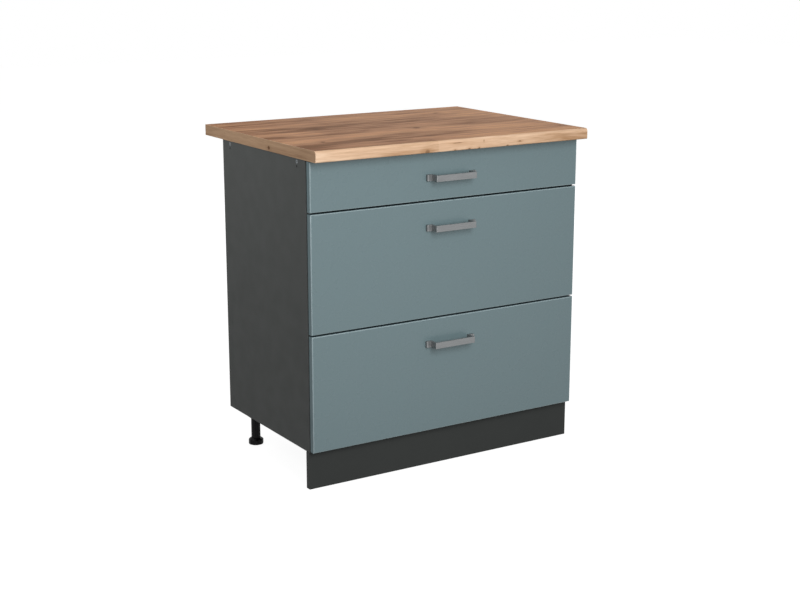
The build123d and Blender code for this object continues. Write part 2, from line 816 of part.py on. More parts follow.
# ---------------------------------------------------------------- the whole cabinet
def make_carcass():
    """Every node of the standing cabinet, without the drawers and the feet."""
    keep("worktop", make_worktop())
    side_left, side_right = both_sides(make_side_panel())
    keep("side_panel_left", side_left)
    keep("side_panel_right", side_right)
    keep("bottom_panel", make_bottom_panel())
    keep("back_panel", make_back_panel())
    keep("top_rail_front", make_top_rail(front_rail_middle))
    keep("top_rail_back", make_top_rail(back_rail_middle))
    keep("panel_dowels", group(make_dowels()))
    keep("rail_screws", group(make_rail_screws()))
    keep("cam_bolts", group(make_cam_bolts()))
    keep("cam_locks", group(make_cam_locks()))
    keep("worktop_screws", group(make_worktop_screws()))
    keep("plinth_panel", make_plinth_panel())
    keep("plinth_clips", group(both_sides(make_plinth_clip())))
    socket, tube = make_leg_socket(), make_leg_tube()
    keep("leg_sockets", group([Pos(x, y, 0) * socket for x, y in leg_places]))
    keep("leg_tubes", group([Pos(x, y, 0) * tube for x, y in leg_places]))
    keep("mounting_screws", group(make_mounting_screws()))


def make_mounting_screws():
    """The small screws that hold the leg sockets, the plinth clips and the cabinet runners."""
    shapes = [small_screw(seat, (0, 0, 1)) for seat in socket_screw_seats()]
    shapes += [small_screw(seat, (0, -1, 0)) for seat in clip_screw_seats()]
    for drawer in drawers:
        for seat in runner_screw_seats(drawer):
            shapes += both_sides(small_screw(seat, (-1, 0, 0)))
    return shapes


def make_feet():
    """The four levelling feet, one node each."""
    foot = make_levelling_foot()
    for name, (x, y) in zip(leg_names, leg_places):
        keep(f"levelling_foot_{name}", Pos(x, y, 0) * foot)


def make_drawer(drawer):
    """Every node of one drawer, and of the runners that carry it."""
    name = drawer.name
    runner_left, runner_right = both_sides(make_runner(drawer))
    keep(f"runner_{name}_left", runner_left)
    keep(f"runner_{name}_right", runner_right)
    front_roller = make_roller(front_axle_y, drawer.bottom + front_axle_rise)
    keep(f"runner_{name}_rollers", group(both_sides(front_roller)))
    keep(f"drawer_{name}_front", make_drawer_front(drawer))
    keep(f"drawer_{name}_handle", make_handle(drawer))
    keep(f"drawer_{name}_handle_screws", group(make_handle_screws(drawer)))
    side_left, side_right = both_sides(make_drawer_side(drawer))
    keep(f"drawer_{name}_side_left", side_left)
    keep(f"drawer_{name}_side_right", side_right)
    keep(f"drawer_{name}_base", make_drawer_base(drawer))
    keep(f"drawer_{name}_back", make_drawer_back(drawer))
    keep(f"drawer_{name}_screws", group(make_drawer_screws(drawer)))
    rear_roller = make_roller(rear_axle_y, drawer.bottom + rear_axle_rise)
    keep(f"drawer_{name}_rollers", group(both_sides(rear_roller)))
    if drawer.has_gallery:
        keep(f"drawer_{name}_gallery_rails", group(both_sides(make_gallery_rail(drawer))))


make_carcass()
make_feet()
for each_drawer in drawers:
    make_drawer(each_drawer)

os.makedirs("parts", exist_ok=True)
for node_name, node_shape in nodes.items():
    export_step(node_shape, f"parts/{node_name}.step")
print(len(nodes), "nodes")
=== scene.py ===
"""Base cabinet with three drawers: its looks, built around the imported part.

Metres. +X is to the right, +Y to the back, +Z up; the drawers open towards -Y.
"""

import logging
from collections.abc import Callable, Iterable, Sequence
from dataclasses import dataclass
from enum import Enum
from math import atan2, cos, hypot, pi, radians, sin, sqrt

import bmesh
import bpy
from bmesh.types import BMEdge, BMesh, BMFace, BMVert
from mathutils import Matrix, Vector


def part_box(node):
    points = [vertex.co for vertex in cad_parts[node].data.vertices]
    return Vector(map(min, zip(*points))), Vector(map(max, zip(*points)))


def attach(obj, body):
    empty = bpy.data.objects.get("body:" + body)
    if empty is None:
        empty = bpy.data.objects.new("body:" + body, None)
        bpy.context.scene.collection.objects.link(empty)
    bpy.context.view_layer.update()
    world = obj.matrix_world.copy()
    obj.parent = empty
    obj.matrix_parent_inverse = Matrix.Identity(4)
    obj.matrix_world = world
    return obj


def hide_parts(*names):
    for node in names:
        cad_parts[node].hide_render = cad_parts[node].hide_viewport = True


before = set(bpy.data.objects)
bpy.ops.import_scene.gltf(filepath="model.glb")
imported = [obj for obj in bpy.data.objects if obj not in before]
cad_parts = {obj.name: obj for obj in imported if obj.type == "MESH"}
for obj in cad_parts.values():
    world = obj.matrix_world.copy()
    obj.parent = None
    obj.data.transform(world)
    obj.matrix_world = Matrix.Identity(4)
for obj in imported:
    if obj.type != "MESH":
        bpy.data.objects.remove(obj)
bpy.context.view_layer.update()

ORIGIN = Vector((0.0, 0.0, 0.0))
TINY = 1e-5  # how near two places have to be to count as the same
MERGE = 1e-6  # how near two corners have to be to become one
CUT = 1e-7  # how near a corner has to be to a cutting plane to lie on it
FACING = 0.9  # the least cosine at which a face counts as facing a way
TURNED = 0.5  # the least cosine at which it counts as turned that way
LEANING = 0.25  # the least cosine at which it counts as leaning that way

Material = bpy.types.Material
Piece = bpy.types.Object
Socket = bpy.types.NodeSocket
Value = Socket | float | Sequence[float]

log = logging.getLogger("base_cabinet")


class Side(Enum):
    """The cabinet's two sides, as seen from the front."""

    LEFT = -1
    RIGHT = 1

    @property
    def word(self) -> str:
        """The side's name in lower case, as the nodes' names have it."""
        return self.name.lower()


class Way(Enum):
    """The directions that a face, a grain or an axis can have."""

    X = (1.0, 0.0, 0.0)
    Y = (0.0, 1.0, 0.0)
    Z = (0.0, 0.0, 1.0)

    @property
    def vector(self) -> Vector:
        """The direction as a unit vector."""
        return Vector(self.value)


class Slot(Enum):
    """The part's material slots, which the pieces of this file carry but don't use."""

    WORKTOP = "worktop_decor"
    BOARD = "carcass_board"
    FRONT = "front_film"
    BACK = "back_board"
    DRAWER_BOARD = "drawer_board"
    HANDLE = "handle_metal"
    COATED_STEEL = "coated_steel"
    ZINC_STEEL = "zinc_steel"
    BLACK_PLASTIC = "black_plastic"
    ROLLER = "roller_plastic"


# ---------------------------------------------------------------- node trees
class Graph:
    """Short ways to lay and join the nodes of one node tree.

    Args:
        tree: the node tree of a material, a world or an effect.
    """

    def __init__(self, tree: bpy.types.NodeTree) -> None:
        """Keeps the tree."""
        self.tree = tree

    def add(
        self, kind: str, feeds: dict[str | int, Value] | None = None, **settings: object
    ) -> bpy.types.Node:
        """Adds a node.

        Args:
            kind: the node's type name.
            feeds: a value or a joined socket for each input, by its name or number.
            settings: the node's own properties.

        Returns:
            The new node.
        """
        node = self.tree.nodes.new(kind)
        for key, setting in settings.items():
            setattr(node, key, setting)
        self.feed_all(node, feeds or {})
        return node

    def feed(self, socket: Socket, value: Value) -> None:
        """Joins a socket to another one, or sets its constant.

        Args:
            socket: the input that is fed.
            value: the socket that it is joined to, or the constant.
        """
        if isinstance(value, bpy.types.NodeSocket):
            self.tree.links.new(value, socket)
        elif socket.type == "RGBA" and len(value) == 3:
            socket.default_value = (*value, 1.0)
        else:
            socket.default_value = value

    def feed_all(self, node: bpy.types.Node, feeds: dict[str | int, Value]) -> None:
        """Joins or sets several inputs of a node, by their names or numbers."""
        for key, value in feeds.items():
            self.feed(node.inputs[key], value)

    def maths(self, operation: str, *values: Value) -> Socket:
        """The result of a Math node's operation on the values."""
        return self.add("ShaderNodeMath", dict(enumerate(values)), operation=operation).outputs[0]

    def total(self, *values: Value) -> Socket:
        """The sum of several values."""
        result = values[0]
        for value in values[1:]:
            result = self.maths("ADD", result, value)
        return result

    def times(self, first: Value, second: Value) -> Socket:
        """The product of two values."""
        return self.maths("MULTIPLY", first, second)

    def centred(self, value: Socket, strength: Value) -> Socket:
        """A 0 to 1 value moved to either side of zero and scaled by a strength."""
        return self.times(self.maths("SUBTRACT", value, 0.5), strength)

    def vectors(self, operation: str, first: Value, second: Value) -> Socket:
        """The vector that a Vector Math node gives."""
        return self.add("ShaderNodeVectorMath", {0: first, 1: second}, operation=operation).outputs[0]

    def length(self, vector: Socket) -> Socket:
        """The length of a vector."""
        return self.add("ShaderNodeVectorMath", {0: vector}, operation="LENGTH").outputs["Value"]

    def ranged(self, value: Value, low: float, high: float, to_low: float, to_high: float) -> Socket:
        """A value carried from one range to another, with soft ends.

        Args:
            value: what is carried over.
            low: where the first range starts.
            high: where the first range ends.
            to_low: the result at low and beyond.
            to_high: the result at high and beyond.

        Returns:
            The result's socket.
        """
        feeds = {"Value": value, "From Min": low, "From Max": high, "To Min": to_low, "To Max": to_high}
        return self.add("ShaderNodeMapRange", feeds, interpolation_type="SMOOTHSTEP").outputs["Result"]

    def noise(self, vector: Socket, scale: Value, detail: float = 2.0, roughness: float = 0.5) -> Socket:
        """A noise value from 0 to 1 at a place."""
        feeds = {"Vector": vector, "Scale": scale, "Detail": detail, "Roughness": roughness}
        return self.add("ShaderNodeTexNoise", feeds).outputs[0]

    def stretched_noise(
        self, vector: Socket, scales: tuple[float, float, float], detail: float = 2.0
    ) -> Socket:
        """A noise value whose grains are drawn out, with a scale for each direction."""
        return self.noise(self.vectors("MULTIPLY", vector, scales), 1.0, detail, 0.55)

    def mixed(self, factor: Value, first: Value, second: Value) -> Socket:
        """Two colours mixed.

        Args:
            factor: the share of the second colour.
            first: the colour at 0.
            second: the colour at 1.

        Returns:
            The mixed colour's socket.
        """
        node = self.add("ShaderNodeMix", data_type="RGBA")
        self.feed_all(node, {"Factor": factor, 6: first, 7: second})
        return node.outputs[2]

    def brighter(self, colour: Socket, value: Socket) -> Socket:
        """A colour whose brightness is scaled by a value."""
        return self.add("ShaderNodeHueSaturation", {"Color": colour, "Value": value}).outputs[0]

    def parts(self, vector: Socket) -> list[Socket]:
        """The X, Y and Z of a vector."""
        return list(self.add("ShaderNodeSeparateXYZ", {0: vector}).outputs)

    def combined(self, x: Value = 0.0, y: Value = 0.0, z: Value = 0.0) -> Socket:
        """The vector of three values."""
        return self.add("ShaderNodeCombineXYZ", {0: x, 1: y, 2: z}).outputs[0]

    def bump(self, height: Socket, depth: float, strength: float = 1.0) -> Socket:
        """The normal of a surface whose relief has a depth in metres."""
        feeds = {"Height": height, "Distance": depth, "Strength": strength}
        return self.add("ShaderNodeBump", feeds).outputs["Normal"]

    def place(self) -> Socket:
        """The place on the cabinet, in metres."""
        return self.add("ShaderNodeTexCoord").outputs["Object"]

    def effect(self, group: bpy.types.NodeTree, **feeds: Value) -> bpy.types.Node:
        """Places a shared effect, with a value for each input by its name in lower case."""
        node = self.add("ShaderNodeGroup")
        node.node_tree = group
        for key, value in feeds.items():
            self.feed(node.inputs[key.capitalize()], value)
        return node


def tint(code: str) -> tuple[float, float, float]:
    """The linear colour of a code of six hexadecimal digits.

    Args:
        code: the colour as seen, such as "74868a".

    Returns:
        Red, green and blue, as a shader takes them.
    """
    shares = [int(code[start : start + 2], 16) / 255 for start in (0, 2, 4)]
    return tuple(s / 12.92 if s <= 0.04045 else ((s + 0.055) / 1.055) ** 2.4 for s in shares)


def cleared(holder: Material | bpy.types.World) -> Graph:
    """The graph of a new material or world, with the nodes it came with taken out."""
    holder.use_nodes = True
    holder.node_tree.nodes.clear()
    return Graph(holder.node_tree)


def new_effect(
    name: str, inputs: dict[str, str], outputs: dict[str, str]
) -> tuple[bpy.types.NodeTree, Graph, dict[str, Socket], bpy.types.Node]:
    """Starts a node group that several finishes share.

    Args:
        name: the group's name.
        inputs: the kind of each input, by its name.
        outputs: the kind of each output, by its name.

    Returns:
        The group, its graph, its inputs' sockets by name, and its output node.
    """
    group = bpy.data.node_groups.new(name, "ShaderNodeTree")
    for sockets, way in ((inputs, "INPUT"), (outputs, "OUTPUT")):
        for label, kind in sockets.items():
            group.interface.new_socket(name=label, in_out=way, socket_type=f"NodeSocket{kind}")
    graph = Graph(group)
    source, sink = graph.add("NodeGroupInput"), graph.add("NodeGroupOutput")
    return group, graph, {label: source.outputs[label] for label in inputs}, sink


STAVE_WIDTH = 0.097  # the oak's staves, in metres
STAVE_LENGTH = 0.62
RING_PITCH = 0.0125  # from one growth ring to the next
KNOT_HEART = (0.02, 0.011, 0.006)  # the tone in the middle of a knot, linear


class Effects:
    """The shader effects that more than one finish uses, each built once."""

    def __init__(self) -> None:
        """Builds every effect."""
        self.mottle = self._mottle()
        self.knot = self._knot()
        self.oak = self._oak()
        self.brushing = self._brushing()
        self.edges = self._edges()

    @staticmethod
    def _mottle() -> bpy.types.NodeTree:
        """Cloudy tone and a fine orange peel, as on film, coats and moulded plastic."""
        inputs = {"Place": "Vector", "Colour": "Color", "Cloud": "Float", "Peel": "Float"}
        outputs = {"Colour": "Color", "Height": "Float", "Unevenness": "Float"}
        group, graph, given, sink = new_effect("coat_mottle", inputs, outputs)
        clouds = graph.noise(given["Place"], 7.0, 3.0)
        tone = graph.total(graph.centred(clouds, given["Cloud"]), 1.0)
        graph.feed_all(sink, {
            "Colour": graph.brighter(given["Colour"], tone),
            "Height": graph.noise(given["Place"], given["Peel"], 1.5),
            "Unevenness": graph.noise(given["Place"], 23.0, 4.0),
        })
        return group

    @staticmethod
    def _knot() -> bpy.types.NodeTree:
        """A knot in timber: its dark heart, and the halo round which the grain bends."""
        inputs = {"Place": "Vector", "Middle": "Vector", "Size": "Vector"}
        group, graph, given, sink = new_effect("timber_knot", inputs, {"Heart": "Float", "Halo": "Float"})
        wobble = graph.stretched_noise(given["Place"], (60.0, 160.0, 160.0))
        offset = graph.vectors("SUBTRACT", given["Place"], given["Middle"])
        far = graph.length(graph.vectors("DIVIDE", offset, given["Size"]))
        far = graph.total(far, graph.centred(wobble, 0.7))
        graph.feed_all(sink, {
            "Heart": graph.ranged(far, 0.45, 1.1, 1.0, 0.0),
            "Halo": graph.ranged(far, 0.6, 3.6, 1.0, 0.0),
        })
        return group

    @staticmethod
    def _oak() -> bpy.types.NodeTree:
        """Planked oak with its grain along X: staves, long streaks, growth rings and pores."""
        inputs = {
            "Place": "Vector", "Light": "Color", "Middle": "Color", "Dark": "Color",
            "Heart": "Float", "Halo": "Float", "Contrast": "Float", "Lean": "Float",
        }
        outputs = {"Colour": "Color", "Height": "Float", "Pores": "Float"}
        group, graph, given, sink = new_effect("oak_decor", inputs, outputs)
        place = given["Place"]
        along, depth, rise = graph.parts(place)
        drift = graph.centred(graph.stretched_noise(place, (1.6, 7.0, 7.0), 3.0), 0.05)
        across = graph.total(depth, rise, drift, graph.times(given["Halo"], 0.008))
        row = graph.maths("FLOOR", graph.maths("DIVIDE", graph.total(depth, rise), STAVE_WIDTH))
        shift = graph.times(graph.maths("SINE", graph.times(row, 12.7)), 3.1)
        stave = graph.maths("FLOOR", graph.maths("DIVIDE", graph.total(along, shift), STAVE_LENGTH))
        feeds = {"Vector": graph.combined(row, stave)}
        cell = graph.add("ShaderNodeTexWhiteNoise", feeds, noise_dimensions="3D")
        rings = graph.maths("SINE", graph.times(across, 2 * pi / RING_PITCH))
        ring_share = graph.ranged(graph.stretched_noise(place, (2.5, 11.0, 11.0)), 0.45, 0.7, 0.0, 0.16)
        wave = graph.centred(graph.stretched_noise(place, (4.0, 9.0, 9.0), 1.0), 0.03)
        wavy = graph.vectors("ADD", place, graph.combined(0.0, wave, wave))
        patches = graph.stretched_noise(wavy, (2.4, 12.0, 12.0), 1.5)
        streaks = graph.stretched_noise(wavy, (6.0, 42.0, 42.0), 2.5)
        lines = graph.stretched_noise(wavy, (5.0, 170.0, 170.0))
        fibres = graph.stretched_noise(place, (20.0, 420.0, 420.0))
        spread = graph.total(
            graph.centred(cell.outputs["Value"], 0.22),
            graph.centred(patches, 1.0),
            graph.centred(streaks, 1.0),
            graph.centred(lines, 0.9),
            graph.centred(fibres, 0.4),
            graph.times(rings, ring_share),
            graph.times(given["Halo"], -0.16),
            graph.times(along, given["Lean"]),
        )
        level = graph.total(graph.times(spread, given["Contrast"]), 0.5)
        ramp = graph.mixed(graph.ranged(level, 0.08, 0.5, 0.0, 1.0), given["Dark"], given["Middle"])
        ramp = graph.mixed(graph.ranged(level, 0.46, 0.86, 0.0, 1.0), ramp, given["Light"])
        pores = graph.ranged(graph.stretched_noise(place, (46.0, 900.0, 900.0), 1.0), 0.62, 0.74, 0.0, 1.0)
        soaked = graph.mixed(0.38, given["Dark"], KNOT_HEART)
        ramp = graph.mixed(graph.times(pores, 0.35), ramp, given["Dark"])
        ramp = graph.brighter(ramp, graph.total(graph.centred(fibres, 0.3), 1.0))
        graph.feed_all(sink, {
            "Colour": graph.mixed(given["Heart"], ramp, soaked),
            "Height": graph.maths("SUBTRACT", fibres, graph.times(pores, 0.8)),
            "Pores": pores,
        })
        return group

    @staticmethod
    def _brushing() -> bpy.types.NodeTree:
        """Fine lines that a brush leaves on metal, along X."""
        inputs = {"Place": "Vector", "Fineness": "Float"}
        outputs = {"Lines": "Float", "Smudges": "Float"}
        group, graph, given, sink = new_effect("metal_brushing", inputs, outputs)
        stretched = graph.vectors("MULTIPLY", given["Place"], (0.02, 1.0, 1.0))
        graph.feed_all(sink, {
            "Lines": graph.noise(stretched, given["Fineness"], 3.0),
            "Smudges": graph.noise(given["Place"], 38.0, 3.0),
        })
        return group

    @staticmethod
    def _edges() -> bpy.types.NodeTree:
        """How near an outer edge a point is, from 0 to 1, broken up by a fine noise."""
        inputs = {"Place": "Vector", "Reach": "Float"}
        group, graph, given, sink = new_effect("edge_polish", inputs, {"Edge": "Float"})
        softened = graph.add("ShaderNodeBevel", {"Radius": given["Reach"]}, samples=3).outputs[0]
        flat = graph.add("ShaderNodeNewGeometry").outputs["Normal"]
        alike = graph.add("ShaderNodeVectorMath", {0: softened, 1: flat}, operation="DOT_PRODUCT")
        edge = graph.ranged(alike.outputs["Value"], 0.8, 0.995, 1.0, 0.0)
        broken = graph.ranged(graph.noise(given["Place"], 260.0, 3.0), 0.3, 0.6, 0.25, 1.0)
        graph.feed(sink.inputs["Edge"], graph.times(edge, broken))
        return group


EFFECTS = Effects()


# ---------------------------------------------------------------- finishes
@dataclass(frozen=True)
class Finish:
    """What every finish has.

    Args:
        name: the material's name.
        colour: the plain colour as seen, in six hexadecimal digits.
        roughness: how matt it is, from 0 to 1.
    """

    name: str
    colour: str
    roughness: float

    def start(self) -> tuple[Material, Graph, bpy.types.Node]:
        """A new material with a Principled shader.

        Returns:
            The material, its graph and its shader node.
        """
        material = bpy.data.materials.new(self.name)
        graph = cleared(material)
        shader = graph.add("ShaderNodeBsdfPrincipled", {"Roughness": self.roughness})
        graph.add("ShaderNodeOutputMaterial", {"Surface": shader.outputs[0]})
        material.diffuse_color = (*tint(self.colour), 1.0)
        return material, graph, shader

    def uneven(self, graph: Graph, pattern: Socket, spread: float) -> Socket:
        """A roughness that follows a 0 to 1 pattern, by a spread to either side."""
        return graph.ranged(pattern, 0.25, 0.75, self.roughness - spread, self.roughness + spread)

    @staticmethod
    def worn(graph: Graph, colour: Socket, edge_colour: str, reach: float, share: float) -> Socket:
        """A colour that turns to another one along handled edges.

        Args:
            graph: the material's graph.
            colour: the colour away from the edges.
            edge_colour: the colour of the edges, in six hexadecimal digits.
            reach: how far from an edge it goes, in metres.
            share: how much of it there is at most.

        Returns:
            The resulting colour's socket.
        """
        edge = graph.effect(EFFECTS.edges, place=graph.place(), reach=reach).outputs["Edge"]
        return graph.mixed(graph.times(edge, share), colour, tint(edge_colour))


@dataclass(frozen=True)
class Coat(Finish):
    """A plain coloured skin: melamine, film, paint or moulded plastic.

    Args:
        cloud: how much the tone drifts over the surface.
        peel: how many waves of orange peel fit in a metre.
        relief: the peel's depth in metres.
        shine: the surface's specular level.
        edge_colour: the colour that handled edges turn to, or nothing.
    """

    cloud: float = 0.05
    peel: float = 900.0
    relief: float = 0.00004
    shine: float = 0.5
    edge_colour: str = ""

    def build(self) -> Material:
        """The finish's material."""
        material, graph, shader = self.start()
        coat = graph.effect(
            EFFECTS.mottle, place=graph.place(), colour=tint(self.colour), cloud=self.cloud, peel=self.peel
        )
        colour = coat.outputs["Colour"]
        if self.edge_colour:
            colour = self.worn(graph, colour, self.edge_colour, reach=0.0012, share=0.55)
        graph.feed_all(shader, {
            "Base Color": colour,
            "Roughness": self.uneven(graph, coat.outputs["Unevenness"], 0.05),
            "Normal": graph.bump(coat.outputs["Height"], self.relief),
            "Specular IOR Level": self.shine,
        })
        return material


@dataclass(frozen=True)
class Knot:
    """A knot of the oak decor.

    Args:
        middle: its middle on the cabinet, in metres.
        size: its half sizes along X, Y and Z, in metres.
    """

    middle: tuple[float, float, float]
    size: tuple[float, float, float]


@dataclass(frozen=True)
class OakDecor(Finish):
    """Laminate printed as planked oak.

    Args:
        light: the palest tone.
        dark: the darkest streaks.
        knots: where knots lie.
        grain: the direction that the grain runs in.
        contrast: how strongly the tones differ.
        lean: how much paler it turns over a metre of grain.
        shine: the surface's specular level.
    """

    light: str = "b9967a"
    dark: str = "7b5b47"
    knots: tuple[Knot, ...] = ()
    grain: Way = Way.X
    contrast: float = 1.0
    lean: float = 0.0
    shine: float = 0.003

    def build(self) -> Material:
        """The finish's material."""
        material, graph, shader = self.start()
        place = graph.place()
        hearts: list[Socket] = []
        halos: list[Socket] = []
        for knot in self.knots:
            mark = graph.effect(EFFECTS.knot, place=place, middle=knot.middle, size=knot.size)
            hearts.append(mark.outputs["Heart"])
            halos.append(mark.outputs["Halo"])
        run = place
        if self.grain is Way.Y:
            turn = graph.add("ShaderNodeMapping", {"Vector": place, "Rotation": (0.0, 0.0, pi / 2)})
            run = turn.outputs[0]
        feeds: dict[str, Value] = {}
        if hearts:
            feeds = {"heart": graph.total(*hearts), "halo": graph.total(*halos)}
        oak = graph.effect(
            EFFECTS.oak, place=run, light=tint(self.light), middle=tint(self.colour), dark=tint(self.dark),
            contrast=self.contrast, lean=self.lean, **feeds,
        )
        rough = graph.total(graph.times(oak.outputs["Pores"], 0.12), self.roughness)
        graph.feed_all(shader, {
            "Base Color": oak.outputs["Colour"],
            "Roughness": rough,
            "Normal": graph.bump(oak.outputs["Height"], 0.00006),
            "Specular IOR Level": self.shine,
        })
        return material


@dataclass(frozen=True)
class RawChipboard(Finish):
    """The cut edge of a particleboard.

    Args:
        chip_colour: the palest chips.
        gap_colour: the glue and the shade between the chips.
    """

    chip_colour: str = "d0b48b"
    gap_colour: str = "6d5337"

    def build(self) -> Material:
        """The finish's material."""
        material, graph, shader = self.start()
        place = graph.place()
        chips = graph.vectors("MULTIPLY", place, (260.0, 260.0, 520.0))
        feeds = {"Vector": chips, "Scale": 1.0}
        cells = graph.add("ShaderNodeTexVoronoi", feeds)
        rims = graph.add("ShaderNodeTexVoronoi", feeds, feature="DISTANCE_TO_EDGE")
        tone = graph.parts(cells.outputs["Color"])[0]
        colour = graph.mixed(tone, tint(self.colour), tint(self.chip_colour))
        gap = graph.ranged(rims.outputs["Distance"], 0.0, 0.12, 0.7, 0.0)
        graph.feed_all(shader, {
            "Base Color": graph.mixed(gap, colour, tint(self.gap_colour)),
            "Normal": graph.bump(rims.outputs["Distance"], 0.0005, 0.6),
            "Specular IOR Level": 0.15,
        })
        return material


@dataclass(frozen=True)
class Hardboard(Finish):
    """The raw side of a hardboard, with its felted fibres and the print of the press screen.

    Args:
        fibre_colour: the palest fibres.
        cloud_colour: the darker clouds.
        screen: from one wire of the press screen to the next.
    """

    fibre_colour: str = "8f6a48"
    cloud_colour: str = "4e3422"
    screen: float = 0.0022

    def build(self) -> Material:
        """The finish's material."""
        material, graph, shader = self.start()
        place = graph.place()
        felt = graph.noise(place, 320.0, 6.0, 0.7)
        clouds = graph.noise(place, 9.0, 3.0)
        share = graph.ranged(felt, 0.3, 0.7, 0.0, 1.0)
        colour = graph.mixed(share, tint(self.colour), tint(self.fibre_colour))
        colour = graph.mixed(graph.ranged(clouds, 0.35, 0.7, 0.0, 0.25), colour, tint(self.cloud_colour))
        along, _, rise = graph.parts(place)
        wires = [graph.maths("SINE", graph.times(at, 2 * pi / self.screen)) for at in (along, rise)]
        relief = graph.total(graph.times(graph.times(*wires), 0.4), felt)
        graph.feed_all(shader, {
            "Base Color": colour,
            "Normal": graph.bump(relief, 0.00025, 0.7),
            "Specular IOR Level": 0.2,
        })
        return material


@dataclass(frozen=True)
class Metal(Finish):
    """Bare or plated metal.

    Args:
        bright: the tone of the polished lines and edges.
        fineness: how many brush lines fit in a metre.
        relief: the depth of the brush lines, in metres.
        metallic: 1 for bare metal, and less under a satin lacquer.
    """

    bright: str = "d5d5d6"
    fineness: float = 1400.0
    relief: float = 0.00002
    metallic: float = 1.0

    def build(self) -> Material:
        """The finish's material."""
        material, graph, shader = self.start()
        brush = graph.effect(EFFECTS.brushing, place=graph.place(), fineness=self.fineness)
        lines = graph.ranged(brush.outputs["Lines"], 0.3, 0.75, 0.0, 0.4)
        colour = graph.mixed(lines, tint(self.colour), tint(self.bright))
        colour = self.worn(graph, colour, self.bright, reach=0.0008, share=0.5)
        graph.feed_all(shader, {
            "Base Color": colour,
            "Metallic": self.metallic,
            "Roughness": self.uneven(graph, brush.outputs["Smudges"], 0.06),
            "Normal": graph.bump(brush.outputs["Lines"], self.relief),
        })
        return material


@dataclass(frozen=True)
class Timber(Finish):
    """Turned beech, with short flecks along X.

    Args:
        fleck: the colour of its flecks.
    """

    fleck: str = "a97c4e"

    def build(self) -> Material:
        """The finish's material."""
        material, graph, shader = self.start()
        flecks = graph.stretched_noise(graph.place(), (120.0, 900.0, 900.0), 3.0)
        share = graph.ranged(flecks, 0.45, 0.7, 0.0, 1.0)
        graph.feed_all(shader, {
            "Base Color": graph.mixed(share, tint(self.colour), tint(self.fleck)),
            "Normal": graph.bump(flecks, 0.0001),
        })
        return material


